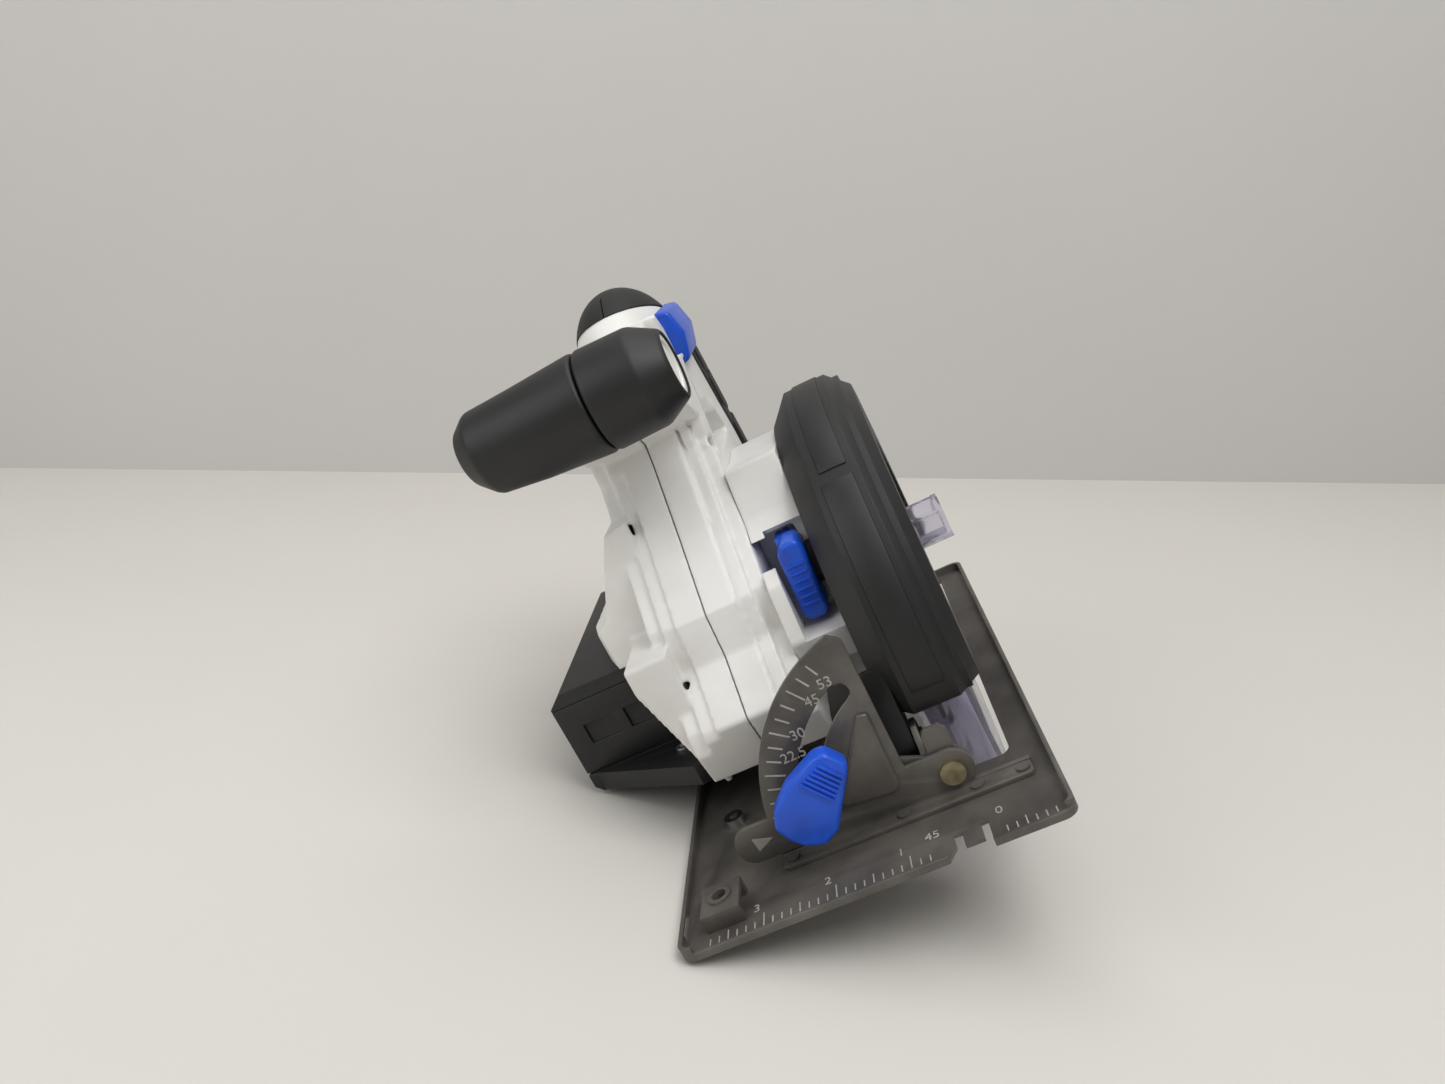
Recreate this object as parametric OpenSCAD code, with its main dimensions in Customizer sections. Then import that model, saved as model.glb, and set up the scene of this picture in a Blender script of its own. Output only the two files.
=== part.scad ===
/* [Base plate] */
// Distance from the blade plane to the left edge of the base
base_left = 105.6; // [95:0.1:112]
// Distance from the blade plane to the right edge of the base
base_right = 28.3; // [26:0.1:32]
// Length of the base from front to back
base_length = 219; // [217:0.5:226]
// Thickness of the pressed steel sheet
sheet = 1.6; // [1.2:0.1:2]
// Height of the turned-up rims
rim_height = 5; // [4:0.1:6]

/* [Blade and guards] */
// Radius of the blade
blade_r = 82.5; // [80:0.5:83]
// Number of teeth on the blade
blade_teeth = 24; // [16:4:40]
// Thickness of the blade
blade_thick = 1.6; // [1.2:0.1:2]
// Distance of the spindle behind the front edge of the base
axis_y = 134; // [133.5:0.1:134.5]
// Height of the spindle above the sole at full cutting depth
axis_z = 39; // [38.5:0.1:39.5]
// Outer radius of the upper guard
guard_r = 90; // [90:0.1:90.5]
// Outer radius of the lower guard
lower_guard_r = 86; // [85.5:0.1:86.2]

/* [Bevel] */
// Sideways place of the bevel pivot
bevel_x = -3.7; // [-4:0.1:-3.5]
// Height of the bevel pivot above the sole
bevel_z = 9.5; // [9.3:0.1:9.8]
// Outer radius of the bevel quadrant
quadrant_r = 64; // [63:0.5:65]
// Middle radius of the slot in the quadrant
slot_r = 47; // [46:0.5:48]
// Greatest bevel angle in degrees
bevel_max = 53; // [45:1:53]

/* [Depth] */
// Distance of the depth pivot behind the front edge of the base
depth_y = 50; // [49.5:0.5:50.5]
// Height of the depth pivot above the sole
depth_z = 16; // [15.5:0.5:16.5]
// Greatest swing of the saw about the depth pivot in degrees
depth_max = 27; // [20:1:28]

/* [Housing] */
// Sideways place of the seam between the housing halves
seam_x = -62; // [-62.5:0.5:-61.5]
// Wall of the moulded housing
shell = 2.6; // [2.2:0.1:3]

/* [Battery] */
// Width of the battery pack
pack_w = 75; // [74:0.5:76]
// Length of the battery pack
pack_l = 116; // [110:1:117]
// Height of the battery pack
pack_h = 46; // [44:0.5:46.5]

/* [Hidden] */
$fn = 64;

steel_dark = "#55524f";
white_abs = "#eceae6";
black_pa = "#1d1d1f";
blue_pom = "#1f63dc";
zinc = "#b9a878";
bright = "#b8babd";
brass = "#c2a14d";

rim_t = 1.6;
corner_r = 5;
opening_x0 = -34;
opening_x1 = 16;
opening_y0 = 45;
opening_y1 = 214.5;
opening_r = 4;

quad_y = 33.6;
quad_t = 2;
foot_y = 26;
ear_r = 7.7;
pivot_r = 3;
slot_w = 7.8;
slot_start = 4;
bolt_angle = 8;
bolt_x = bevel_x - slot_r * cos(bolt_angle);
bolt_z = bevel_z + slot_r * sin(bolt_angle);
bolt_r = 3;

tilt_y = 36.4;
tilt_t = 2;
guide_y = 188;
guide_r = 33;
guide_a = -3;
arc_x = -23;
arc_t = 2;
arc_r = 154;
arc_w = 16;
depth_bolt_a = 2.5;
depth_bolt_y = depth_y + arc_r * cos(depth_bolt_a);
depth_bolt_z = depth_z + arc_r * sin(depth_bolt_a);

guard_left = -16.8;
guard_right = 17.5;
guard_wall = 2.5;
cavity_left = -7.8;
cavity_right = 14;
guard_rear_a = 84;
guard_front_a = 277;
window_r = 58;

final_m = 1.25;
final_pinion_n = 15;
final_gear_n = 30;
first_m = 1.1;
first_pinion_n = 12;
first_gear_n = 30;
mesh_slack = 0.12;
motor_y = 138.5;
motor_z = 89.7;
motor_r = 20;
idler_d = final_m * (final_pinion_n + final_gear_n) / 2 + mesh_slack;
pinion_d = first_m * (first_pinion_n + first_gear_n) / 2 + mesh_slack;
shaft_d = norm([motor_y - axis_y, motor_z - axis_z]);
idler_reach = (idler_d * idler_d - pinion_d * pinion_d + shaft_d * shaft_d) / (2 * shaft_d);
idler_side = sqrt(max(0, idler_d * idler_d - idler_reach * idler_reach));
shaft_u = [motor_y - axis_y, motor_z - axis_z] / shaft_d;
idler_y = axis_y + shaft_u[0] * idler_reach + shaft_u[1] * idler_side;
idler_z = axis_z + shaft_u[1] * idler_reach - shaft_u[0] * idler_side;

pack_x0 = -144;
pack_y0 = 103;
pack_z0 = 19;
pack_x1 = pack_x0 + pack_w;
pack_z1 = pack_z0 + pack_h;

bar_y = 80;
bar_z = 165;
bar_ry = 20;
bar_rz = 19;

// ---------- helpers ----------

module x_solid(x0, x1) {
    translate([x0, 0, 0])
        rotate([90, 0, 90])
            linear_extrude(x1 - x0)
                children();
}

module y_solid(y0, y1) {
    translate([0, y1, 0])
        rotate([90, 0, 0])
            linear_extrude(y1 - y0)
                children();
}

module x_cyl(x0, x1, y, z, r) {
    translate([x0, y, z])
        rotate([0, 90, 0])
            cylinder(h = x1 - x0, r = r);
}

module y_cyl(y0, y1, x, z, r) {
    translate([x, y1, z])
        rotate([90, 0, 0])
            cylinder(h = y1 - y0, r = r);
}

module box(x0, x1, y0, y1, z0, z1) {
    translate([x0, y0, z0])
        cube([x1 - x0, y1 - y0, z1 - z0]);
}

module round_rect(x0, x1, y0, y1, r) {
    translate([x0 + r, y0])
        square([x1 - x0 - 2 * r, y1 - y0]);
    translate([x0, y0 + r])
        square([x1 - x0, y1 - y0 - 2 * r]);
    for (x = [x0 + r, x1 - r], y = [y0 + r, y1 - r])
        translate([x, y])
            circle(r);
}

// A flat link with round ends of different size, each given as [a, b, radius].
module link2d(p, q) {
    d = norm([q[0] - p[0], q[1] - p[1]]);
    heading = atan2(q[1] - p[1], q[0] - p[0]);
    lean = acos((p[2] - q[2]) / d);
    translate([p[0], p[1]])
        circle(p[2]);
    translate([q[0], q[1]])
        circle(q[2]);
    polygon([
        for (e = [[p, 1], [p, -1], [q, -1], [q, 1]])
            [e[0][0] + e[0][2] * cos(heading + e[1] * lean), e[0][1] + e[0][2] * sin(heading + e[1] * lean)]
    ]);
}

// Turns a profile of [radius, x] about the spindle line, from angle a0 to a1 counted from the bottom to the rear.
module about_spindle(a0, a1) {
    translate([0, axis_y, axis_z])
        rotate([0, 90, 0])
            rotate([0, 0, a0])
                rotate_extrude(angle = a1 - a0, $fn = 128)
                    children();
}

// Ring sector in the side view, centred on a point.
module ring_sector(cy, cz, r0, r1, a0, a1) {
    steps = 16;
    span = a1 - a0;
    outer = [for (i = [0:steps]) [cy + r1 * 1.3 * cos(a0 + span * i / steps), cz + r1 * 1.3 * sin(a0 + span * i / steps)]];
    intersection() {
        difference() {
            translate([cy, cz])
                circle(r1, $fn = 128);
            translate([cy, cz])
                circle(r0, $fn = 128);
        }
        polygon(concat([[cy, cz]], outer));
    }
}

// Spur gear outline with straight-flanked teeth, thinned a little for running clearance.
module gear2d(m, n, phase) {
    pitch = m * n / 2;
    step = 360 / n;
    root = pitch - 1.3 * m;
    tip = pitch + 0.85 * m;
    points = [
        for (i = [0:n - 1], k = [[root, -0.36], [pitch, -0.21], [tip, -0.1], [tip, 0.1], [pitch, 0.21], [root, 0.36]])
            [k[0] * cos(phase + (i + k[1]) * step), k[0] * sin(phase + (i + k[1]) * step)]
    ];
    polygon(points);
}

module x_gear(x0, x1, y, z, m, n, phase, bore_r) {
    translate([0, y, z])
        x_solid(x0, x1)
            difference() {
                gear2d(m, n, phase);
                circle(bore_r);
            }
}

// Round wire wound about the X direction through [y, z].
function coil_ring(x0, y, z, r, w, pitch, i, per) =
    let (a = 360 * i / per, x = x0 + pitch * i / per)
        [for (j = [0:7])
            let (b = 45 * j, rr = r + w * cos(b))
                [x + w * sin(b), y + rr * cos(a), z + rr * sin(a)]];

module x_coil(x0, y, z, r, w, turns, pitch) {
    per = 20;
    n = turns * per;
    points = [for (i = [0:n]) each coil_ring(x0, y, z, r, w, pitch, i, per)];
    sides = [for (i = [0:n - 1], j = [0:7])
        [8 * i + j, 8 * i + (j + 1) % 8, 8 * (i + 1) + (j + 1) % 8, 8 * (i + 1) + j]];
    start_cap = [for (j = [7:-1:0]) j];
    end_cap = [for (j = [0:7]) 8 * n + j];
    polyhedron(points, concat(sides, [start_cap, end_cap]), convexity = 6);
}

// ---------- base ----------

module base_outline() {
    round_rect(-base_left, base_right, 0, base_length, corner_r);
}

module base_plate() {
    color(steel_dark)
        difference() {
            union() {
                linear_extrude(sheet)
                    base_outline();
                difference() {
                    linear_extrude(rim_height)
                        base_outline();
                    linear_extrude(3 * rim_height, center = true)
                        round_rect(-base_left + rim_t, base_right - rim_t, rim_t, base_length - rim_t, corner_r - rim_t);
                    box(-base_left + corner_r, base_right + 1, -1, rim_t + 0.4, 2.6, rim_height + 1);
                }
            }
            translate([0, 0, -1])
                linear_extrude(rim_height + 2)
                    round_rect(opening_x0, opening_x1, opening_y0, opening_y1, opening_r);
            box(-1.25, 1.25, -1, 12.7, -1, rim_height + 1);
            box(-9.4, 0, -1, 4.3, -1, rim_height + 1);
            box(-10.4, -7.6, -1, 11.5, -1, rim_height + 1);
            translate([0, 0, -1])
                linear_extrude(rim_height + 2)
                    polygon([[-14.5, -1], [-9, -1], [-9, 6], [-10.4, 5.4]]);
            for (x = [-base_left, base_right])
                box(x - 3, x + 3, 9.5, 22.5, sheet, rim_height - 0.9);
            translate([seat_x, seat_y, -1])
                cylinder(h = 5, r = 2.6);
            translate([stop_x, stop_y, -1])
                cylinder(h = 5, r = 2.05);
        }
}

seat_x = -89.4;
seat_y = 17;
stop_x = -88.1;
stop_y = 69.5;

module guide_screw_seat() {
    color(steel_dark)
        difference() {
            union() {
                box(seat_x - 7, seat_x + 7, seat_y - 8, seat_y + 8, sheet, 8);
                translate([seat_x, seat_y, 8])
                    cylinder(h = 1.2, r = 4.2);
            }
            box(seat_x - 8, seat_x + 8, seat_y - 5.5, seat_y + 5.5, 0, 6);
            translate([seat_x, seat_y, 5])
                cylinder(h = 6, r = 2.5);
        }
}

module base_stop_screw() {
    color(bright)
        difference() {
            union() {
                translate([stop_x, stop_y, 0])
                    cylinder(h = sheet, r = 2);
                translate([stop_x, stop_y, sheet])
                    cylinder(h = 3.2, r = 3.8);
            }
            translate([stop_x, stop_y, 3])
                cylinder(h = 3, r = 1.6, $fn = 6);
        }
}

module quadrant_face() {
    difference() {
        union() {
            intersection() {
                translate([bevel_x, bevel_z])
                    circle(quadrant_r, $fn = 128);
                translate([-90, bevel_z - 5])
                    square([72.4, quadrant_r + 5]);
            }
            round_rect(-82, -50, 4.2, 18, 6);
            translate([bevel_x, bevel_z])
                circle(ear_r);
            translate([-60, sheet])
                square([57, 15.4]);
            translate([-68.5, sheet])
                square([89.5, 2]);
        }
        translate([bevel_x, bevel_z])
            circle(pivot_r);
        quadrant_slot();
    }
}

// Direction out from the bevel pivot at an angle counted up from the left, and the direction square to it.
function bevel_out(a) = [-cos(a), sin(a)];
function bevel_along(a) = [sin(a), cos(a)];

// Curved slot for the clamping bolt, with round ends.
module quadrant_slot() {
    a0 = slot_start;
    a1 = bolt_angle + bevel_max + 0.4;
    w = slot_w / 2;
    pivot = [bevel_x, bevel_z];
    steps = 20;
    outer_side = [for (i = [0:steps]) pivot + (slot_r + w) * bevel_out(a0 + (a1 - a0) * i / steps)];
    inner_side = [for (i = [steps:-1:0]) pivot + (slot_r - w) * bevel_out(a0 + (a1 - a0) * i / steps)];
    far_end = [for (t = [30:30:150]) pivot + (slot_r + w * cos(t)) * bevel_out(a1) + w * sin(t) * bevel_along(a1)];
    near_end = [for (t = [30:30:150]) pivot + (slot_r - w * cos(t)) * bevel_out(a0) - w * sin(t) * bevel_along(a0)];
    polygon(concat(outer_side, far_end, inner_side, near_end));
}

rivet_xs = [-64.5, -23.8, 2, 17.8];

module bevel_quadrant() {
    color(steel_dark)
        difference() {
            union() {
                y_solid(quad_y, quad_y + quad_t)
                    quadrant_face();
                translate([0, 0, sheet])
                    linear_extrude(sheet)
                        round_rect(-68.3, 20.8, foot_y, quad_y + 1.1, 2);
            }
            for (x = rivet_xs)
                translate([x, 30, 0])
                    cylinder(h = 6, r = 1.5);
        }
}

module quadrant_rivets() {
    color(steel_dark)
        for (x = rivet_xs)
            translate([x, 30, 0]) {
                translate([0, 0, sheet])
                    cylinder(h = sheet, r = 1.5);
                translate([0, 0, 2 * sheet])
                    cylinder(h = 0.8, r = 2.3);
            }
}

// Slotted arc at the back, centred on the bevel pivot line, that keeps the tilting frame upright.
module rear_guide_plate() {
    color(steel_dark)
        difference() {
            union() {
                box(-72, -36, 178, guide_y + 2, sheet, 2 * sheet);
                y_solid(guide_y, guide_y + 2) {
                    bevel_sector(guide_r - 5, guide_r + 5, guide_a - 7, bevel_max + 5);
                    polygon([[-72, sheet], [-36, sheet], [-31.8, 5.4], [-38, 12], [-41.6, 16], [-60, 12], [-72, 5]]);
                }
            }
            y_solid(guide_y - 1, guide_y + 3) {
                bevel_sector(guide_r - 2.85, guide_r + 2.85, guide_a, guide_a + bevel_max);
                for (a = [guide_a, guide_a + bevel_max])
                    translate([bevel_x - guide_r * cos(a), bevel_z + guide_r * sin(a)])
                        circle(2.85);
            }
        }
}

// Ring sector in the front view about the bevel pivot, angles counted up from the left.
module bevel_sector(r0, r1, a0, a1) {
    span = a1 - a0;
    intersection() {
        difference() {
            translate([bevel_x, bevel_z])
                circle(r1, $fn = 128);
            translate([bevel_x, bevel_z])
                circle(r0, $fn = 128);
        }
        polygon([
            [bevel_x, bevel_z],
            for (i = [0:6])
                [bevel_x - 70 * cos(a0 + span * i / 6), bevel_z + 70 * sin(a0 + span * i / 6)]
        ]);
    }
}

// ---------- tilting frame ----------

module front_tilt_bracket() {
    color(steel_dark)
        difference() {
            union() {
                y_solid(tilt_y, tilt_y + tilt_t)
                    polygon([[-58, 18], [-55, 23], [-49, 24.6], [-24, 21.6], [-17, 19], [-10, 16.2], [-8.8, 18], [-8.8, 23.4],
                        [-7, 25.6], [-2, 25.6], [0.2, 23.4], [0.2, 16.4], [2.6, 13.2], [3.2, 9], [1.8, 5.2], [-2, 2.8], [-6, 3],
                        [-12, 5.6], [-22, 5.8], [-49, 8], [-56, 10.5], [-58, 14]]);
                for (x = [-24.3, -11.4])
                    x_solid(x, x + 2)
                        polygon([[tilt_y + tilt_t - 0.5, 7], [54, 8.2], [57.2, 12], [57.4, 18.5], [53, 23], [46, 23.3], [tilt_y + tilt_t - 0.5, 15.4]]);
            }
            y_cyl(tilt_y - 1, tilt_y + 4, bevel_x, bevel_z, pivot_r);
            y_cyl(tilt_y - 1, tilt_y + 4, bolt_x, bolt_z, bolt_r);
            x_cyl(-30, 0, depth_y, depth_z, 3);
        }
}

module front_pivot_rivet() {
    color(zinc) {
        y_cyl(quad_y, tilt_y + tilt_t, bevel_x, bevel_z, pivot_r - 0.05);
        y_cyl(tilt_y + tilt_t, tilt_y + tilt_t + 1.2, bevel_x, bevel_z, 4.4);
        y_cyl(quad_y - 2, quad_y, bevel_x, bevel_z, 4.3);
    }
}

module rear_tilt_bracket() {
    color(steel_dark)
        difference() {
            union() {
                x_solid(arc_x, arc_x + arc_t) {
                    ring_sector(depth_y, depth_z, arc_r - arc_w / 2, arc_r + arc_w / 2, -3.5, depth_max + 6);
                    translate([guide_y - 2.4, 5])
                        square([22, 9]);
                }
                y_solid(guide_y - 2.4, guide_y - 0.4)
                    translate([-41, 4.4])
                        square([20, 9]);
            }
            y_cyl(180, 200, stud_x, stud_z, 2.5);
            x_solid(arc_x - 1, arc_x + arc_t + 1) {
                ring_sector(depth_y, depth_z, arc_r - 3.2, arc_r + 3.2, depth_bolt_a, depth_bolt_a + depth_max);
                for (a = [depth_bolt_a, depth_bolt_a + depth_max])
                    translate([depth_y + arc_r * cos(a), depth_z + arc_r * sin(a)])
                        circle(3.2);
            }
        }
}

stud_x = bevel_x - guide_r * cos(guide_a);
stud_z = bevel_z + guide_r * sin(guide_a);

module rear_guide_stud() {
    color(zinc) {
        y_cyl(guide_y - 2.4, guide_y + 2.4, stud_x, stud_z, 2.45);
        y_cyl(guide_y + 2.4, guide_y + 3.6, stud_x, stud_z, 4.2);
        y_cyl(guide_y - 3.6, guide_y - 2.4, stud_x, stud_z, 4.2);
    }
}

module bevel_bolt() {
    color(bright) {
        y_cyl(22, tilt_y + tilt_t, bolt_x, bolt_z, bolt_r - 0.05);
        y_cyl(tilt_y + tilt_t, tilt_y + tilt_t + 2.4, bolt_x, bolt_z, 6);
    }
}

// Lever turned about the bolt; its arm rises to the right.
module bevel_lever() {
    arm = 38;
    color(blue_pom)
        difference() {
            union() {
                y_solid(19, quad_y - 1.4)
                    translate([bolt_x, bolt_z])
                        rotate(arm)
                            polygon([[-7, -6], [-10, -2], [-8, 8], [-2, 10], [12, 8.5], [22, 7.5], [24.5, 3], [23.5, -5], [20, -7], [9, -6.2], [4, -9], [-3, -9.4]]);
                y_cyl(quad_y - 1.4, quad_y - 0.2, bolt_x, bolt_z, 7.5);
            }
            y_cyl(21.6, quad_y + 1, bolt_x, bolt_z, bolt_r);
        }
}

module depth_pivot_pin() {
    color(bright) {
        x_cyl(-24.6, -9.1, depth_y, depth_z, 2.95);
        x_cyl(-26, -24.6, depth_y, depth_z, 4.6);
        x_cyl(-9.1, -8.2, depth_y, depth_z, 4);
    }
}

// ---------- guards ----------

module upper_guard() {
    color(black_pa)
        difference() {
            union() {
                about_spindle(guard_rear_a, guard_front_a)
                    polygon([[24, guard_left], [80, guard_left], [guard_r, -8], [guard_r, 9], [guard_r - 8, guard_right],
                        [window_r, guard_right], [window_r, cavity_right], [guard_r - guard_wall, cavity_right],
                        [guard_r - guard_wall, cavity_left], [24, cavity_left]]);
                x_cyl(guard_left, cavity_left, axis_y, axis_z, 30);
                x_cyl(cavity_left, -4.4, axis_y, axis_z, 20);
                x_solid(guard_left, guard_left + 4)
                    polygon([[166, 44], [192, 44], [212, 26], [208, 15], [200, 14], [188, 24], [160, 22]]);
                x_cyl(-20.6, guard_left + 4, depth_bolt_y, depth_bolt_z, 7);
                x_solid(-21.6, -12) {
                    translate([depth_y, depth_z])
                        circle(6.5);
                    polygon([[43.5, 16], [56.5, 16], [66, 40], [50, 46], [47.5, 34]]);
                }
            }
            x_cyl(-30, 0, axis_y, axis_z, 16);
            difference() {
                x_cyl(-15.2, -4, axis_y, axis_z, 24);
                x_cyl(-16, -3, axis_y, axis_z, 20);
            }
            x_cyl(-20, -13.6, idler_y, idler_z, 4);
            x_cyl(-30, 0, depth_y, depth_z, 3);
            x_cyl(-30, 0, depth_bolt_y, depth_bolt_z, 3);
            for (p = guard_screw_places)
                x_cyl(guard_left - 1, guard_left + 7, p[0], p[1], 1.75);
            x_cyl(guard_left - 1, cavity_left + 1, lock_y, lock_z, 3.1);
        }
}

lock_y = 91;
lock_z = 77;
guard_screw_places = [[80, 50], [106, 112], [160, 108], [170, 40]];

module guard_bumper() {
    color("#202020")
        about_spindle(259.4, 262.6)
            polygon([[79, cavity_left], [guard_r - guard_wall, cavity_left], [guard_r - guard_wall, -2], [79, -2]]);
}

module cover_outline(grow) {
    link2d([axis_y, axis_z, 24 + grow], [idler_y, idler_z, 20.5 + grow]);
    link2d([idler_y, idler_z, 20.5 + grow], [motor_y, motor_z, 18 + grow]);
}

module gear_cover() {
    color(white_abs)
        difference() {
            x_solid(-38, guard_left - 0.2)
                difference() {
                    intersection() {
                        polygon([[64, 60], [70, 46], [90, 32], [112, 18], [134, 13.5], [156, 18], [174, 34], [182, 60],
                            [180, 92], [168, 110], [150, 116], [126, 116], [104, 118], [94, 100], [72, 80]]);
                        translate([depth_y, depth_z])
                            circle(143, $fn = 128);
                    }
                }
            difference() {
                x_solid(-35.4, guard_left + 1)
                    cover_outline(-2.6);
                x_cyl(-36, -30.2, axis_y, axis_z, 10.4);
            }
            x_cyl(-35.2, -30, axis_y, axis_z, 9);
            x_cyl(-37, -30, idler_y, idler_z, 4);
            x_cyl(-40, -34, motor_y, motor_z, 8);
            for (p = guard_screw_places) {
                x_cyl(-40, -10, p[0], p[1], 1.75);
                x_cyl(-40, -35.6, p[0], p[1], 3.6);
            }
            x_cyl(-40, 0, lock_y, lock_z, 8.4);
            x_solid(-40, -21.4)
                translate([lock_y, lock_z])
                    square([26, 33], center = true);
        }
}

module guard_screws() {
    color(bright)
        for (p = guard_screw_places) {
            x_cyl(-35.8, -11, p[0], p[1], 1.7);
            difference() {
                x_cyl(-37.8, -35.8, p[0], p[1], 3.4);
                x_cyl(-38, -36.8, p[0], p[1], 1.5, $fn = 6);
            }
        }
}

module depth_bolt() {
    color(bright) {
        x_cyl(-36, guard_left + 4, depth_bolt_y, depth_bolt_z, 2.95);
        x_cyl(guard_left + 4, guard_left + 6.4, depth_bolt_y, depth_bolt_z, 5.4);
    }
}

module depth_lever() {
    color(blue_pom)
        difference() {
            union() {
                x_cyl(-34, -23.4, depth_bolt_y, depth_bolt_z, 8);
                x_solid(-34, -26)
                    link2d([depth_bolt_y, depth_bolt_z, 8], [depth_bolt_y + 26, depth_bolt_z + 12, 5.5]);
            }
            x_cyl(-37, -20, depth_bolt_y, depth_bolt_z, 3);
        }
}

module lower_guard() {
    color("#dcd8ee", 0.55)
        difference() {
            union() {
                about_spindle(-97, 80)
                    polygon([[26, -7], [lower_guard_r, -7], [lower_guard_r, 3], [lower_guard_r - 2, 3],
                        [lower_guard_r - 2, -5], [26, -5]]);
                about_spindle(-96.6, 56)
                    polygon([[lower_guard_r - 1.9, 2.4], [lower_guard_r - 0.1, 2.4], [lower_guard_r - 0.1, 12.4], [50, 12.4],
                        [50, 10.4], [lower_guard_r - 1.9, 10.4]]);
                about_spindle(0, 360)
                    polygon([[20.1, -6.8], [27, -6.8], [27, -4.6], [20.1, -4.6]]);
                about_spindle(40, 106.5)
                    polygon([[36, 10.5], [54, 10.5], [54, 12.3], [36, 12.3]]);
                about_spindle(84, 106)
                    polygon([[36.3, 12], [38, 12], [38, 28], [50, 28], [50, 30.5], [36.3, 30.5]]);
                for (a = [84.3, 102.9])
                    about_spindle(a, a + 2.8)
                        polygon([[36.6, 12.1], [49.7, 12.1], [49.7, 29], [36.6, 29]]);
            }
        }
}

module guard_spring() {
    color(bright)
        x_coil(-13.6, axis_y, axis_z, 22.5, 0.7, 3, 1.7);
}

// ---------- drive ----------

module spindle() {
    color(bright)
        difference() {
            union() {
                x_cyl(-34, -4.4, axis_y, axis_z, 5.95);
                x_cyl(-4.4, 1.2, axis_y, axis_z, 7.8);
            }
            x_cyl(-16, 2, axis_y, axis_z, 3);
        }
}

module spindle_gear() {
    color("#8b8d90")
        x_gear(-29, -21, axis_y, axis_z, final_m, final_gear_n, gear_heading, 5.95);
}

// Teeth are turned so that each pair meshes on its centre line.
gear_heading = atan2(idler_z - axis_z, idler_y - axis_y);
final_pinion_phase = gear_heading + 180 + 180 / final_pinion_n;
first_heading = atan2(motor_z - idler_z, motor_y - idler_y);
first_pinion_phase = first_heading + 180 + 180 / first_pinion_n;

module idler_gear() {
    color("#8b8d90") {
        x_cyl(-36.6, -14, idler_y, idler_z, 3.95);
        x_gear(-29.2, -20.8, idler_y, idler_z, final_m, final_pinion_n, final_pinion_phase, 3.95);
        x_gear(-34.6, -30.2, idler_y, idler_z, first_m, first_gear_n, first_heading, 3.95);
    }
}

module inner_flange() {
    color(bright)
        difference() {
            union() {
                x_cyl(-4.2, -blade_thick / 2, axis_y, axis_z, 17.5);
            }
            x_cyl(-5, 2, axis_y, axis_z, 7.85);
        }
}

module blade() {
    step = 360 / blade_teeth;
    gullet = blade_r - 7;
    outline = [
        for (i = [0:blade_teeth - 1], k = [[blade_r, 0], [blade_r - 0.8, 0.22], [blade_r - 3, 0.62], [gullet, 0.74], [gullet, 0.9]])
            [k[0] * cos(-(i + k[1]) * step), k[0] * sin(-(i + k[1]) * step)]
    ];
    color("#a9abae")
        translate([0, axis_y, axis_z])
            x_solid(-blade_thick / 2, blade_thick / 2)
                difference() {
                    polygon(outline);
                    circle(7.85);
                    for (a = [20:90:359]) {
                        rotate(a)
                            translate([blade_r - 18, 0])
                                circle(2.2);
                        rotate(a)
                            translate([blade_r - 18, -0.6])
                                square([30, 1.2]);
                    }
                }
}

module outer_flange() {
    color(bright)
        difference() {
            x_cyl(blade_thick / 2, 4.6, axis_y, axis_z, 16.5);
            x_cyl(0, 1.25, axis_y, axis_z, 7.9);
            x_cyl(0, 6, axis_y, axis_z, 3.05);
        }
}

module blade_bolt() {
    color("#3c3c3e")
        difference() {
            union() {
                x_cyl(-14, 4.6, axis_y, axis_z, 2.95);
                x_cyl(4.6, 6.2, axis_y, axis_z, 8.5);
                translate([6.2, axis_y, axis_z])
                    rotate([0, 90, 0])
                        cylinder(h = 4.6, r = 6.4, $fn = 6);
            }
            translate([8, axis_y, axis_z])
                rotate([0, 90, 0])
                    cylinder(h = 4, r = 2.9, $fn = 6);
        }
}

module motor_can() {
    color("#77797c")
        difference() {
            x_cyl(-83, -42, motor_y, motor_z, motor_r);
            x_cyl(-84, -44, motor_y, motor_z, motor_r - 1.6);
            x_cyl(-50, -40, motor_y, motor_z, 8.2);
        }
}

module motor_magnets() {
    color("#39393b")
        for (a = [0, 180])
            translate([0, motor_y, motor_z])
                rotate([a, 0, 0])
                    x_solid(-80, -54)
                        ring_sector(0, 0, 14.4, motor_r - 1.65, 25, 155);
}

module armature() {
    color("#8a5a35") {
        x_cyl(-93, -30.6, motor_y, motor_z, 2.45);
        translate([0, motor_y, motor_z])
            x_solid(-78, -56)
                difference() {
                    circle(13.8);
                    circle(2.45);
                    for (a = [0:60:359])
                        rotate(a)
                            translate([7, -1.2])
                                square([8, 2.4]);
                }
        x_gear(-35, -30.4, motor_y, motor_z, first_m, first_pinion_n, first_pinion_phase, 2.45);
    }
}

module commutator() {
    color(brass)
        translate([0, motor_y, motor_z])
            x_solid(-89.5, -80.5)
                difference() {
                    circle(6);
                    circle(2.45);
                }
}

module motor_fan() {
    color("#2b2b2d")
        translate([0, motor_y, motor_z]) {
            x_solid(-53.4, -52)
                difference() {
                    circle(12);
                    circle(2.45);
                }
            x_solid(-52, -46.5) {
                difference() {
                    circle(4.5);
                    circle(2.45);
                }
                for (a = [0:40:359])
                    rotate(a)
                        translate([4.2, -0.6])
                            square([7.6, 1.2]);
            }
        }
}

module end_bell() {
    color("#2b2b2d")
        difference() {
            union() {
                x_cyl(-86, -83, motor_y, motor_z, motor_r);
                x_cyl(-95, -86, motor_y, motor_z, 13);
            }
            x_cyl(-92.4, -82, motor_y, motor_z, 11.4);
            x_cyl(-96, -90, motor_y, motor_z, 5.05);
        }
}

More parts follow.
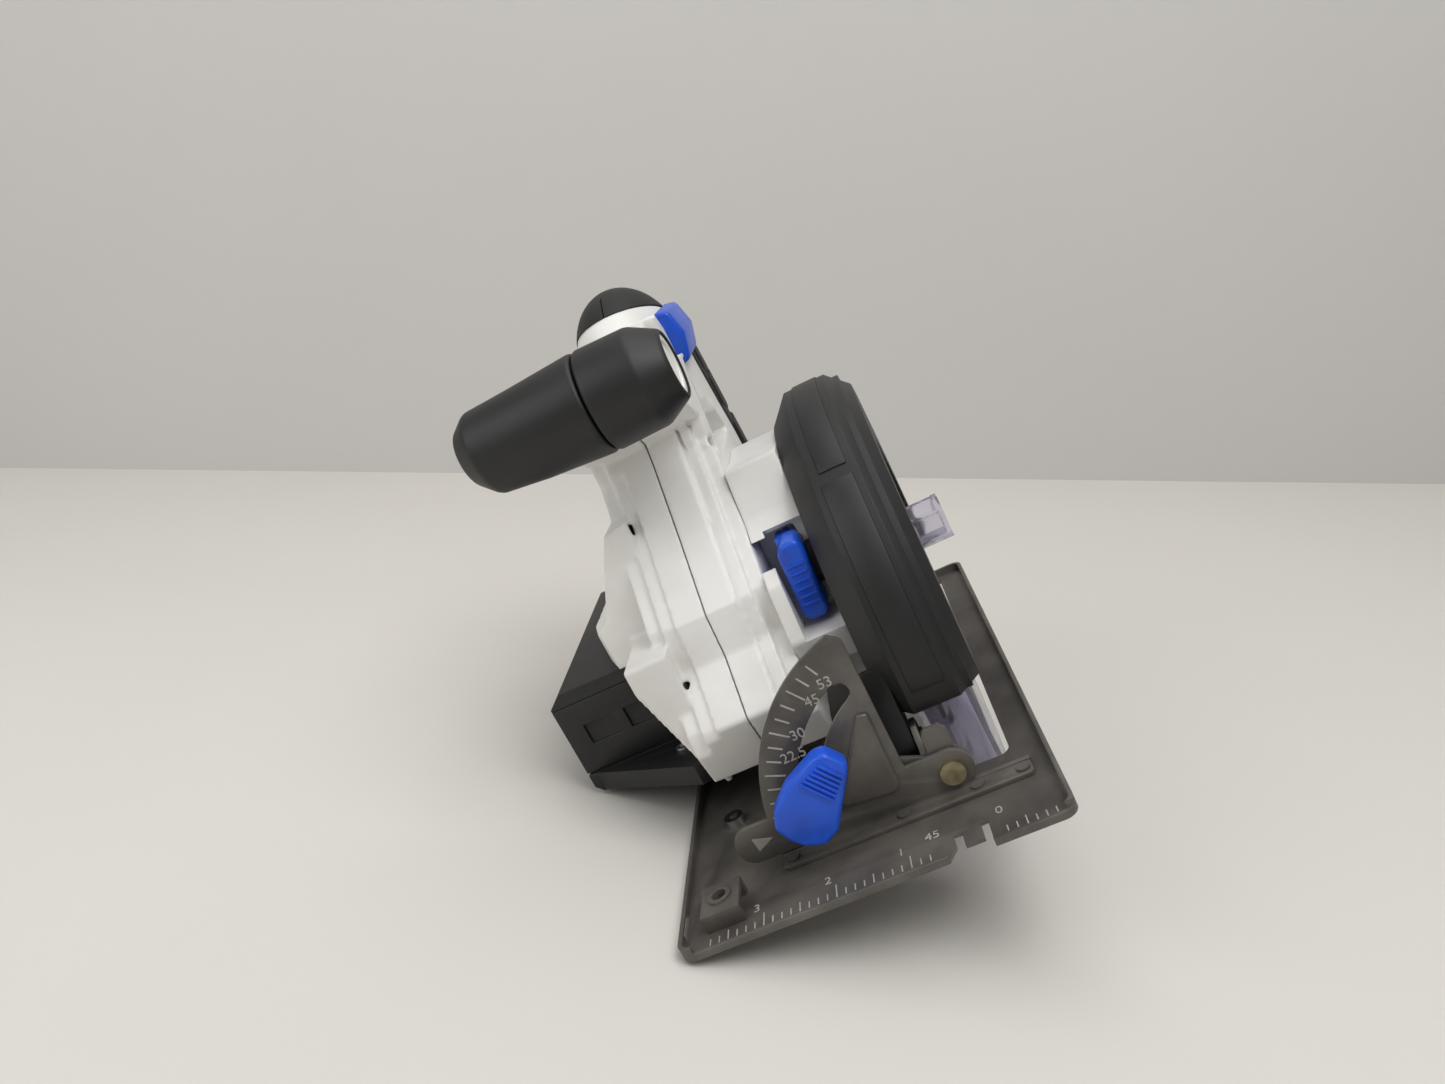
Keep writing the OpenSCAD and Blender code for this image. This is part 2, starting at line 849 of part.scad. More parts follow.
module motor_brushes() {
    color("#4a4038")
        for (side = [-1, 1])
            box(-89, -84, motor_y + side * 8.6 - 2.4, motor_y + side * 8.6 + 2.4, motor_z - 2.2, motor_z + 2.2);
}

module bearing(x0, x1, y, z, r0, r1) {
    w = (r1 - r0) / 4;
    difference() {
        x_cyl(x0, x1, y, z, r1);
        x_cyl(x0 - 1, x1 + 1, y, z, r0);
        for (x = [x0 - 1, x1 - 1])
            difference() {
                x_cyl(x, x + 2, y, z, r1 - w);
                x_cyl(x - 1, x + 3, y, z, r0 + w);
            }
    }
}

module ball_bearings() {
    color(bright) {
        bearing(-16.6, -7, axis_y, axis_z, 6.05, 15.95);
        bearing(-35.2, -30.4, axis_y, axis_z, 6.05, 9);
        bearing(-41.8, -36, motor_y, motor_z, 2.5, 7.9);
        bearing(-95, -92.6, motor_y, motor_z, 2.5, 5);
    }
}

// ---------- housing ----------

body_profile = [[62, 24], [54, 46], [69, 65], [70, 76], [72, 81], [92.5, 105], [95.5, 111], [112, 130], [117, 138],
    [100, 150], [86, 152], [86, 178], [100, 181], [154, 177], [160, 182], [167, 189], [176, 192], [192, 191.5],
    [207, 185.5], [219, 174], [225, 150], [231, 125], [236.5, 108], [237, 90], [232, 67], [196, 60], [186, 36], [150, 34], [120, 30]];
finger_gap = [[124, 121], [139, 150], [147, 158], [160, 158], [168, 150], [165, 132], [171, 121]];
column_cavity = [[72, 32], [67, 46], [80, 62], [81, 72], [84, 79], [103, 102], [107, 109], [120, 124], [128, 140],
    [120, 150], [112, 160], [112, 174], [150, 172], [148, 162], [138, 153], [122, 119], [130, 117], [134, 116], [134, 66], [96, 66], [96, 38]];
grip_cavity = [[158, 172], [163, 180], [169, 186], [177, 189], [191, 188.5], [204.5, 183], [216, 172.5], [222, 149], [228, 124],
    [233.5, 107], [234, 92], [229, 72], [188, 70], [176, 86], [174, 118], [168.5, 131], [172, 151], [163, 162], [154, 164]];

module body_face(setback) {
    intersection() {
        difference() {
            polygon(body_profile);
            polygon(finger_gap);
        }
        translate([setback, 0])
            polygon([[40, -20], [54, 46], [69, 65], [72, 81], [92.5, 105], [112, 130], [113, 140], [60, 140], [60, 230], [290, 230], [290, -20]]);
    }
}

module body_half(side) {
    // side is 1 for the right half and -1 for the left
    bands = [[0, 12, 0], [12, 18, 2], [18, 24, 5]];
    for (b = bands) {
        x0 = seam_x + side * b[0];
        x1 = seam_x + side * b[1];
        x_solid(min(x0, x1), max(x0, x1))
            body_face(b[2]);
    }
}

module handle_spigot() {
    x_cyl(-96, -44, bar_y, bar_z, 8);
}

module motor_bore() {
    x_cyl(-95.3, -86, motor_y, motor_z, 13.2);
    x_cyl(-86.2, -41.8, motor_y, motor_z, motor_r + 0.2);
    x_cyl(-42, -30, motor_y, motor_z, 18.2);
}

module shared_hollows() {
    x_solid(seam_x - 19, seam_x + 19) {
        polygon(column_cavity);
        polygon(grip_cavity);
    }
    motor_bore();
    box(-150, -67.4, 100.6, 280, -10, 66.4);
    for (p = housing_screw_places)
        x_cyl(-140, -20, p[0], p[1], 1.75);
}

housing_screw_places = [[84, 56], [119, 127], [128, 170], [206, 172], [236, 84]];

module housing_bosses() {
    intersection() {
        for (p = housing_screw_places)
            x_cyl(seam_x - 22, seam_x + 22, p[0], p[1], 4.2);
        x_solid(-90, -30)
            polygon(body_profile);
    }
}

module housing_right() {
    color(white_abs)
        difference() {
            union() {
                difference() {
                    union() {
                        body_half(1);
                    }
                    shared_hollows();
                }
                intersection() {
                    housing_bosses();
                    box(seam_x, -30, 0, 300, 0, 210);
                }
            }
            for (p = housing_screw_places) {
                x_cyl(-140, -20, p[0], p[1], 1.75);
                x_cyl(-44.2, -30, p[0], p[1], 3.4);
            }
            motor_bore();
            hollow_switches();
        }
}

module hollow_switches() {
    box(-71, -53, 160, 178, 128, 156);
    box(-95, -30, 172, 185, 158, 169);
}

// The wide shoulder over the battery, which holds the motor's end and the battery terminals.
module motor_shoulder(inset) {
    intersection() {
        y_solid(96 + inset, 222 - inset)
            polygon([[-127 + inset, 66.5 + inset / 2], [-127 + inset, 69.5], [-112 + inset, 80 - inset], [-103 + inset, 87 - inset],
                [-93 + inset, 108 - inset], [-88 + inset, 117 - inset], [-78, 119 - inset], [-78, 66.5 + inset / 2]]);
        translate([0, 0, 60])
            linear_extrude(70)
                polygon([[-78, 96], [-108 + inset, 97], [-113 + inset, 109], [-127 + inset, 153], [-127 + inset, 204],
                    [-120 + inset, 218], [-110, 222], [-78, 222]]);
    }
}

module housing_left() {
    color(white_abs)
        difference() {
            union() {
                difference() {
                    union() {
                        body_half(-1);
                        motor_shoulder(0);
                        y_solid(64, 99)
                            polygon([[-80, 21], [-82, 21], [-88, 34], [-97, 66], [-97, 76], [-80, 76]]);
                    }
                    shared_hollows();
                    difference() {
                        motor_shoulder(shell);
                        x_cyl(-130, -60, motor_y, motor_z, motor_r + 2.2);
                    }
                    box(-81, -78, 67, 96, 30, 62);
                }
                intersection() {
                    housing_bosses();
                    box(-90, seam_x, 0, 300, 0, 210);
                }
            }
            for (p = housing_screw_places)
                x_cyl(-140, -20, p[0], p[1], 1.75);
            box(-150, -67.4, 100.6, 280, -10, 66.4);
            translate([0, 0, pack_z0])
                linear_extrude(9.1)
                    stop_outline();
            motor_bore();
            hollow_switches();
            box(-122.1, -89.9, 189.9, 212.1, 66, 74.1);
            box(-122.1, -89.9, 212, 240, 66, 68.6);
            for (y = [160:8:184])
                box(-130, -124, y, y + 4, 67.6, 71);
        }
}

module housing_screws() {
    color("#3a3a3c")
        for (p = housing_screw_places) {
            x_cyl(-78, -44, p[0], p[1], 1.7);
            x_cyl(-44, -41.6, p[0], p[1], 3.2);
        }
}

module bar_solid(x0, r0, x1, r1) {
    translate([x0, bar_y, bar_z])
        rotate([0, 90, 0])
            cylinder(h = x1 - x0, r1 = r0, r2 = r1);
}

module front_handle_left() {
    color(black_pa)
        difference() {
            union() {
                bar_solid(-112.5, 11, -105, 15.4);
                bar_solid(-105, 15.4, seam_x, 18.8);
            }
            handle_hollow();
        }
}

module handle_hollow() {
    bar_solid(-106, 11.6, -50, 14.6);
    x_solid(-89, -35)
        polygon([[85.9, 151.9], [100, 149.9], [117, 137.9], [120, 137.9], [120, 190], [100, 181.1], [85.9, 178.1]]);
}

module front_handle_right() {
    color(black_pa)
        difference() {
            union() {
                bar_solid(seam_x, 18.8, -39, 18);
                bar_solid(-39, 18, -31.5, 14);
            }
            handle_hollow();
            x_cyl(-36, -20, bar_y, bar_z, 11.4);
        }
}

module handle_end_plug() {
    color(white_abs)
        difference() {
            x_cyl(-36, -32, bar_y, bar_z, 11.3);
            x_cyl(-37, -34, bar_y, bar_z, 8);
        }
}

module grip_overmould() {
    color(black_pa)
        x_solid(seam_x - 20.4, seam_x + 20.4)
            difference() {
                polygon([[161, 183.4], [167, 191], [176, 194], [193, 193.6], [208.5, 187.5], [221, 175.5], [227.2, 150.4], [233.2, 125.6],
                    [238.8, 108.4], [239.2, 92], [236.9, 90], [230, 108], [224, 125], [216, 150], [209, 170], [198, 181], [180, 186], [168, 182]]);
                polygon(body_profile);
            }
}

// ---------- controls ----------

module trigger() {
    color(blue_pom)
        x_solid(-70, -54)
            polygon([[160.5, 154], [166, 155], [176, 150], [176, 130], [171, 131], [166.5, 136], [165, 144]]);
}

module trigger_spring() {
    color(bright)
        y_coil(seam_x, 177, 142, 3, 0.45, 5, 1.9);
}

module y_coil(x, y0, z, r, w, turns, pitch) {
    translate([x, 0, z])
        rotate([0, 0, 90])
            x_coil(y0, 0, 0, r, w, turns, pitch);
}

module switch_body() {
    color("#26262a")
        box(-69, -55, 187.5, 206, 132, 160);
}

module lock_off_button() {
    color(blue_pom)
        box(-88.5, -37.5, 172.4, 184.6, 158.4, 168.6);
}

module spindle_lock_collar() {
    color(black_pa)
        difference() {
            x_cyl(-21, guard_left - 0.1, lock_y, lock_z, 8.3);
            x_cyl(-22, -10, lock_y, lock_z, 5.2);
        }
}

module spindle_lock_button() {
    color(blue_pom) {
        x_solid(-29.6, -24.6)
            translate([lock_y, lock_z])
                polygon([[-11, -5], [-8, -14], [3, -14.5], [10, -8], [11.5, 4], [7, 14], [-5, 14.5], [-10, 8]]);
        x_cyl(-24.6, -19.8, lock_y, lock_z, 4.9);
        x_cyl(-19.8, cavity_left - 1, lock_y, lock_z, 3);
    }
}

module terminal_block() {
    color("#26262a")
        difference() {
            box(-122, -90, 190, 212, 66.6, 74);
            for (x = [-118.5:8:-94.5])
                box(x, x + 2, 186, 216, 64, 70);
        }
}

module control_board() {
    color("#1f6b3a")
        box(-75, -73.4, 190, 226, 78, 96);
}

// ---------- battery ----------

module pack_section(inset) {
    polygon([[pack_x0 + 3 + inset, pack_z0 + inset], [pack_x1 - 3 - inset, pack_z0 + inset], [pack_x1 - inset, pack_z0 + 3 + inset],
        [pack_x1 - inset, pack_z1 - 8], [pack_x1 - inset, pack_z1 - inset], [pack_x0 + 6 + inset, pack_z1 - inset],
        [pack_x0 + inset, pack_z1 - 5 - inset], [pack_x0 + inset, pack_z0 + 3 + inset]]);
}

module stop_outline() {
    polygon([[-140, 102.4], [-93.3, 73], [-87, 75], [-68, 99], [-68, 102.4]]);
}

module pack_stop() {
    color(black_pa)
        difference() {
            translate([0, 0, pack_z0 + 0.6])
                linear_extrude(8.4)
                    stop_outline();
            translate([-99, 92, 15])
                cylinder(h = 20, r = 1.7);
        }
}

module battery_case() {
    color(black_pa)
        difference() {
            y_solid(pack_y0, pack_y0 + pack_l)
                pack_section(0);
            y_solid(pack_y0 + 2.4, pack_y0 + pack_l - 2.4)
                intersection() {
                    pack_section(2.4);
                    translate([pack_x0, pack_z0 - 1])
                        square([pack_w, pack_h]);
                }
            box(pack_x0 - 1, pack_x1 + 1, pack_y0 - 1, pack_y0 + pack_l + 1, pack_z1 - 6, pack_z1 + 1);
            box(-126, -104, 112, 116, 50, 70);
        }
}

module battery_lid() {
    color(black_pa)
        intersection() {
            y_solid(pack_y0, pack_y0 + pack_l)
                pack_section(0);
            difference() {
                box(pack_x0, pack_x1, pack_y0, pack_y0 + pack_l, pack_z1 - 6, pack_z1);
                box(-120.1, -99.9, pack_y0 + pack_l - 12.1, pack_y0 + pack_l - 3.9, pack_z1 - 9, pack_z1 + 2);
            }
        }
}

module battery_cells() {
    color("#3f7f5a")
        for (i = [0:4])
            translate([pack_x0 + 5, pack_y0 + 15 + i * 21, pack_z0 + 21])
                rotate([0, 90, 0])
                    cylinder(h = 65, r = 9.2);
}

module battery_terminals() {
    color(brass)
        for (x = [-118:8:-94])
            box(x, x + 1, 194, 206, pack_z1, pack_z1 + 3);
}

module battery_latch() {
    color("#2d2d30")
        box(-120, -100, pack_y0 + pack_l - 12, pack_y0 + pack_l - 4, pack_z1 - 5, pack_z1 + 1);
}

base_plate();
guide_screw_seat();
bevel_quadrant();
quadrant_rivets();
base_stop_screw();
rear_guide_plate();
front_tilt_bracket();
front_pivot_rivet();
rear_tilt_bracket();
rear_guide_stud();
bevel_bolt();
bevel_lever();
depth_pivot_pin();
upper_guard();
guard_bumper();
gear_cover();
guard_screws();
depth_bolt();
depth_lever();
spindle();
spindle_gear();
idler_gear();
inner_flange();
blade();
outer_flange();
blade_bolt();
lower_guard();
guard_spring();
motor_can();
motor_magnets();
armature();
commutator();
motor_fan();
end_bell();
motor_brushes();
ball_bearings();
housing_left();
housing_right();
housing_screws();
front_handle_left();
front_handle_right();
handle_end_plug();
grip_overmould();
trigger();
trigger_spring();
switch_body();
lock_off_button();
spindle_lock_button();
spindle_lock_collar();
terminal_block();
control_board();
battery_case();
battery_lid();
battery_cells();
battery_terminals();
battery_latch();
pack_stop();
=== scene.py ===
import math

import bpy
from mathutils import Matrix, Vector


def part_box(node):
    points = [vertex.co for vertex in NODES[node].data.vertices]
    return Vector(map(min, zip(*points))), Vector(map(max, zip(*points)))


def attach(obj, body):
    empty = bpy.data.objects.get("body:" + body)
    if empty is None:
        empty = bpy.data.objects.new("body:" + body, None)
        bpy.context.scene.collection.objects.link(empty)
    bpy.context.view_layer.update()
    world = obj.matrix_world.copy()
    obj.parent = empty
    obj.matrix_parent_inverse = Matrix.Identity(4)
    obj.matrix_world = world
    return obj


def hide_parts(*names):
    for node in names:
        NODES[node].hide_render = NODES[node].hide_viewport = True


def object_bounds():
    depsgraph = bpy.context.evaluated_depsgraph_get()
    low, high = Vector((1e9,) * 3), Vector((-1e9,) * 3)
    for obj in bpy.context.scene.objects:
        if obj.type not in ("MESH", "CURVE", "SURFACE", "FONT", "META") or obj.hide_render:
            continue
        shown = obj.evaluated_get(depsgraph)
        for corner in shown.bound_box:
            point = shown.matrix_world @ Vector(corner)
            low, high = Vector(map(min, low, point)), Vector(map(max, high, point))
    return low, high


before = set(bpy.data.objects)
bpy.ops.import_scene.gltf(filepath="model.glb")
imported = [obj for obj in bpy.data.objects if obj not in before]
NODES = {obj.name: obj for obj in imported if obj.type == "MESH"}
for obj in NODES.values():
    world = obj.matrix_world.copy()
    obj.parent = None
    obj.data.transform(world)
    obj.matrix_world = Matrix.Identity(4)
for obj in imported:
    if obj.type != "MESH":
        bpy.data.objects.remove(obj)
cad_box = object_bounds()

bl_info = {
    "name": "Cordless circular saw",
    "version": (1, 0, 0),
    "blender": (4, 5, 0),
    "location": "3D View > Sidebar > Saw",
    "description": "Builds the looks of a cordless circular saw around its packed frame",
    "category": "Object",
}

MM = 0.001
INCH = 25.4
# how far the pressed digits stand out, in millimetres
MARK_DEEP = 0.12


# ---------- places read from the frame, in metres ----------

def low(node):
    return Vector(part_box(node)[0])


def high(node):
    return Vector(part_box(node)[1])


def middle(node):
    return (low(node) + high(node)) / 2


SPINDLE = Vector((0, middle("blade").y, middle("blade").z))
SEAM_X = low("housing_right").x
BOLT = Vector((middle("bevel_bolt").x, 0, middle("bevel_bolt").z))
PIVOT = Vector((middle("front_pivot_rivet").x, 0, middle("front_pivot_rivet").z))
BAR = Vector((0, middle("front_handle_right").y, middle("front_handle_right").z))


# ---------- sizes and colours a user may change ----------

def length(name, description, millimetres):
    return bpy.props.FloatProperty(
        name=name, description=description, default=millimetres * MM,
        subtype="DISTANCE", unit="LENGTH", precision=4)


def colour(name, description, hex_value):
    return bpy.props.FloatVectorProperty(
        name=name, description=description, default=linear(hex_value), subtype="COLOR", size=4)


def linear(hex_value):
    """Turns an sRGB hex colour into the linear values the shaders read."""
    def channel(start):
        c = int(hex_value[start:start + 2], 16) / 255
        return c / 12.92 if c <= 0.04045 else ((c + 0.055) / 1.055) ** 2.4
    return (channel(1), channel(3), channel(5), 1.0)


class SawSizes(bpy.types.PropertyGroup):
    """Sizes of the saw's dressed pieces"""
    mould_round: length("Moulding round", "How far the moulded housing's corners are rounded", 2.4)
    guard_round: length("Guard round", "How far the upper guard's corners are rounded", 0.7)
    grip_round: length("Grip round", "Rounding along the sides of the rear grip's rubber", 5.0)
    seam_gap: length("Seam gap", "Width of the parting line between moulded halves", 0.5)
    tick_step: length("Ruler step", "Distance between the marks pressed into the base", 3.175)
    digit_height: length("Digit height", "Height of the pressed numbers", 5.2)
    steel_round: length("Sheet edge round", "Rounding of the pressed sheet's edges", 0.35)


class SawColours(bpy.types.PropertyGroup):
    """Colours of the saw's materials"""
    white: colour("Housing", "Moulded housing plastic", "#E9E8E5")
    black: colour("Black plastic", "Guard, handle and battery plastic", "#161617")
    blue: colour("Controls", "Levers, trigger and buttons", "#1B58D8")
    steel: colour("Base steel", "Dark painted sheet steel", "#6A6660")
    clear: colour("Clear guard", "Clear lower guard", "#E4E1F2")
    floor: colour("Floor", "The studio floor", "#DBD8D2")
    backdrop: colour("Backdrop", "The studio wall", "#D0CECB")


# ---------- modelling by operators ----------

def deselect():
    if bpy.context.object and bpy.context.object.mode != "OBJECT":
        bpy.ops.object.mode_set(mode="OBJECT")
    bpy.ops.object.select_all(action="DESELECT")


def pick(obj):
    deselect()
    obj.select_set(True)
    bpy.context.view_layer.objects.active = obj


def named(name):
    """Names the piece just added and puts its place in its mesh."""
    obj = bpy.context.object
    obj.name = name
    obj.data.name = name
    bpy.ops.object.transform_apply(location=True, rotation=True, scale=True)
    return obj


def modify(obj, kind, **settings):
    """Adds a modifier and applies it."""
    pick(obj)
    mod = obj.modifiers.new(kind.title(), kind)
    for key, value in settings.items():
        setattr(mod, key, value)
    bpy.ops.object.modifier_apply(modifier=mod.name)
    return obj


def smooth(obj, angle=34):
    pick(obj)
    bpy.ops.object.shade_smooth_by_angle(angle=math.radians(angle))
    return obj


def bevel(obj, width, segments=2, angle=30):
    return modify(obj, "BEVEL", width=width, segments=segments, limit_method="ANGLE",
                  angle_limit=math.radians(angle), use_clamp_overlap=True)


def copied(name, *nodes, flat=True):
    """A piece that starts as a merged copy of frame nodes; flat joins their level triangles."""
    deselect()
    parts = []
    for node in nodes:
        part = bpy.data.objects.new(node + "_copy", NODES[node].data.copy())
        part.data.materials.clear()
        bpy.context.collection.objects.link(part)
        part.select_set(True)
        parts.append(part)
    bpy.context.view_layer.objects.active = parts[0]
    if len(parts) > 1:
        bpy.ops.object.join()
    bpy.ops.object.mode_set(mode="EDIT")
    bpy.ops.mesh.select_all(action="SELECT")
    bpy.ops.mesh.remove_doubles(threshold=0.00001)
    if flat:
        bpy.ops.mesh.dissolve_limited(angle_limit=math.radians(0.6))
    bpy.ops.mesh.customdata_custom_splitnormals_clear()
    bpy.ops.object.mode_set(mode="OBJECT")
    return named(name)


def moulded(obj, voxel, passes, keep):
    """Rounds every corner as a mould does: remesh, smooth, then thin the mesh."""
    modify(obj, "REMESH", mode="VOXEL", voxel_size=voxel)
    modify(obj, "SMOOTH", iterations=passes, factor=0.5)
    modify(obj, "DECIMATE", ratio=keep)
    pick(obj)
    bpy.ops.object.shade_smooth()
    return obj


def halve(obj, place, away):
    """Takes off everything past a plane; place is in millimetres and away points at the loss."""
    pick(obj)
    bpy.ops.object.mode_set(mode="EDIT")
    bpy.ops.mesh.select_all(action="SELECT")
    bpy.ops.mesh.bisect(plane_co=[p * MM for p in place], plane_no=away, clear_outer=True, use_fill=True)
    bpy.ops.object.mode_set(mode="OBJECT")
    return obj


def cut(obj, *cutters):
    for cutter in cutters:
        modify(obj, "BOOLEAN", operation="DIFFERENCE", object=cutter, solver="EXACT")
        bpy.data.objects.remove(cutter, do_unlink=True)
    return obj


def joined(name, parts):
    deselect()
    for part in parts:
        part.select_set(True)
    bpy.context.view_layer.objects.active = parts[0]
    if len(parts) > 1:
        bpy.ops.object.join()
    return named(name)


def block(lo, hi, name="block"):
    """A box between two corners given in millimetres."""
    deselect()
    centre = [(a + b) / 2 * MM for a, b in zip(lo, hi)]
    size = [(b - a) * MM for a, b in zip(lo, hi)]
    bpy.ops.mesh.primitive_cube_add(size=1, location=centre, scale=size)
    return named(name)


def rod(axis, start, end, centre, radius, sides=48, name="rod", tip=None):
    """A round bar along X or Y; centre is its place across that axis, in millimetres."""
    deselect()
    middle_along = (start + end) / 2
    place = (middle_along, *centre) if axis == "X" else (centre[0], middle_along, centre[1])
    turn = (0, math.radians(90), 0) if axis == "X" else (math.radians(-90), 0, 0)
    bpy.ops.mesh.primitive_cone_add(
        vertices=sides, radius1=radius * MM, radius2=(radius if tip is None else tip) * MM,
        depth=(end - start) * MM, location=[p * MM for p in place], rotation=turn)
    return named(name)


def slab(outline, axis, start, end, name="slab"):
    """A flat outline in millimetres, raised along X or Y. Outline points are (y, z) or (x, z)."""
    deselect()
    bpy.ops.mesh.primitive_circle_add(vertices=len(outline), radius=1, fill_type="NGON")
    obj = bpy.context.object
    for vertex, (a, b) in zip(obj.data.vertices, outline):
        vertex.co = Vector((start, a, b) if axis == "X" else (a, start, b)) * MM
    step = (end - start) * MM
    bpy.ops.object.mode_set(mode="EDIT")
    bpy.ops.mesh.select_all(action="SELECT")
    bpy.ops.mesh.extrude_region_move(
        TRANSFORM_OT_translate={"value": (step, 0, 0) if axis == "X" else (0, step, 0)})
    bpy.ops.mesh.select_all(action="SELECT")
    bpy.ops.mesh.normals_make_consistent(inside=False)
    bpy.ops.object.mode_set(mode="OBJECT")
    return named(name)


def lofted(name, sections, sides=48):
    """A closed form along X. Each section is (x, y, z, half depth, half height) in millimetres."""
    x0, y0, z0, ry0, rz0 = sections[0]
    deselect()
    bpy.ops.mesh.primitive_circle_add(
        vertices=sides, radius=MM, fill_type="NGON", location=(x0 * MM, y0 * MM, z0 * MM),
        rotation=(0, math.radians(90), 0))
    obj = named(name)
    bpy.ops.object.mode_set(mode="EDIT")
    bpy.ops.mesh.select_all(action="SELECT")
    bpy.ops.transform.resize(value=(1, ry0, rz0), center_override=(x0 * MM, y0 * MM, z0 * MM))
    before = sections[0]
    for here in sections[1:]:
        shift = [(b - a) * MM for a, b in zip(before[:3], here[:3])]
        bpy.ops.mesh.extrude_region_move(TRANSFORM_OT_translate={"value": shift})
        bpy.ops.transform.resize(
            value=(1, here[3] / before[3], here[4] / before[4]),
            center_override=[c * MM for c in here[:3]])
        before = here
    bpy.ops.mesh.select_all(action="SELECT")
    bpy.ops.mesh.normals_make_consistent(inside=False)
    bpy.ops.object.mode_set(mode="OBJECT")
    return obj


def lettering(text, size, place, turn, depth, name):
    """Raised digits made a mesh; place is in millimetres."""
    deselect()
    bpy.ops.object.text_add(location=[p * MM for p in place], rotation=turn)
    obj = bpy.context.object
    obj.data.body = text
    obj.data.size = size
    obj.data.extrude = depth * MM
    obj.data.align_x = "CENTER"
    obj.data.align_y = "CENTER"
    bpy.ops.object.convert(target="MESH")
    return named(name)


def finish_piece(obj, material, body, *stands_for, slot=None):
    obj.data.materials.clear()
    obj.data.materials.append(bpy.data.materials[material])
    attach(obj, body)
    if stands_for:
        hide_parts(*stands_for)
    return obj


# ---------- materials ----------

def add_node(tree, kind, links=(), **settings):
    """Adds a shader node, sets its properties and sockets, and links (socket, from node, from socket)."""
    node = tree.nodes.new(kind)
    for key, value in settings.items():
        if key.startswith("in_"):
            node.inputs[key[3:].replace("_", " ")].default_value = value
        else:
            setattr(node, key, value)
    for socket, source, output in links:
        tree.links.new(source.outputs[output], node.inputs[socket])
    return node


def blank(name):
    mat = bpy.data.materials.get(name) or bpy.data.materials.new(name)
    mat.use_nodes = True
    tree = mat.node_tree
    tree.nodes.clear()
    out = tree.nodes.new("ShaderNodeOutputMaterial")
    where = tree.nodes.new("ShaderNodeTexCoord")
    return tree, out, where


def surface(name, base, dark, grain_mm, patch_mm, rough, bump_mm, metallic=0.0, coat=0.0,
            wear=None, ior=None, streak=(1, 1, 1)):
    """A finish from a fine grain and broad patches: both vary colour, roughness and height."""
    tree, out, where = blank(name)
    turn = add_node(tree, "ShaderNodeMapping", [("Vector", where, "Object")], in_Scale=streak)
    grain = add_node(tree, "ShaderNodeTexNoise", [("Vector", turn, "Vector")],
                     in_Scale=1 / (grain_mm * MM), in_Detail=3.0, in_Roughness=0.6)
    patch = add_node(tree, "ShaderNodeTexNoise", [("Vector", where, "Object")],
                     in_Scale=1 / (patch_mm * MM), in_Detail=5.0, in_Roughness=0.55)
    mix = add_node(tree, "ShaderNodeMix", data_type="RGBA")
    mix.inputs[6].default_value = dark
    mix.inputs[7].default_value = base
    spread = add_node(tree, "ShaderNodeMapRange", [("Value", patch, "Fac")],
                      in_From_Min=0.35, in_From_Max=0.62)
    tree.links.new(spread.outputs["Result"], mix.inputs[0])
    skin = mix
    if wear:
        # scuffs: thin light marks where a stretched noise peaks
        scuff_map = add_node(tree, "ShaderNodeMapping", [("Vector", where, "Object")],
                             in_Scale=(1.0, 0.25, 1.0), in_Rotation=(0.4, 0.3, 0.6))
        scuff = add_node(tree, "ShaderNodeTexNoise", [("Vector", scuff_map, "Vector")],
                         in_Scale=1 / (2.2 * MM), in_Detail=6.0, in_Roughness=0.7)
        peak = add_node(tree, "ShaderNodeMapRange", [("Value", scuff, "Fac")],
                        in_From_Min=0.66, in_From_Max=0.74, in_To_Max=0.55)
        worn = add_node(tree, "ShaderNodeMix", data_type="RGBA")
        tree.links.new(peak.outputs["Result"], worn.inputs[0])
        tree.links.new(mix.outputs[2], worn.inputs[6])
        worn.inputs[7].default_value = wear
        skin = worn
    sheen = add_node(tree, "ShaderNodeMapRange", [("Value", patch, "Fac")],
                     in_To_Min=rough - 0.08, in_To_Max=rough + 0.08)
    height = add_node(tree, "ShaderNodeBump", [("Height", grain, "Fac")],
                      in_Strength=0.35, in_Distance=bump_mm * MM)
    shader = add_node(tree, "ShaderNodeBsdfPrincipled",
                      [("Roughness", sheen, "Result"), ("Normal", height, "Normal")],
                      in_Metallic=metallic, in_Coat_Weight=coat)
    if ior:
        shader.inputs["IOR"].default_value = ior
    tree.links.new(skin.outputs[2], shader.inputs["Base Color"])
    tree.links.new(shader.outputs[0], out.inputs[0])
    return name


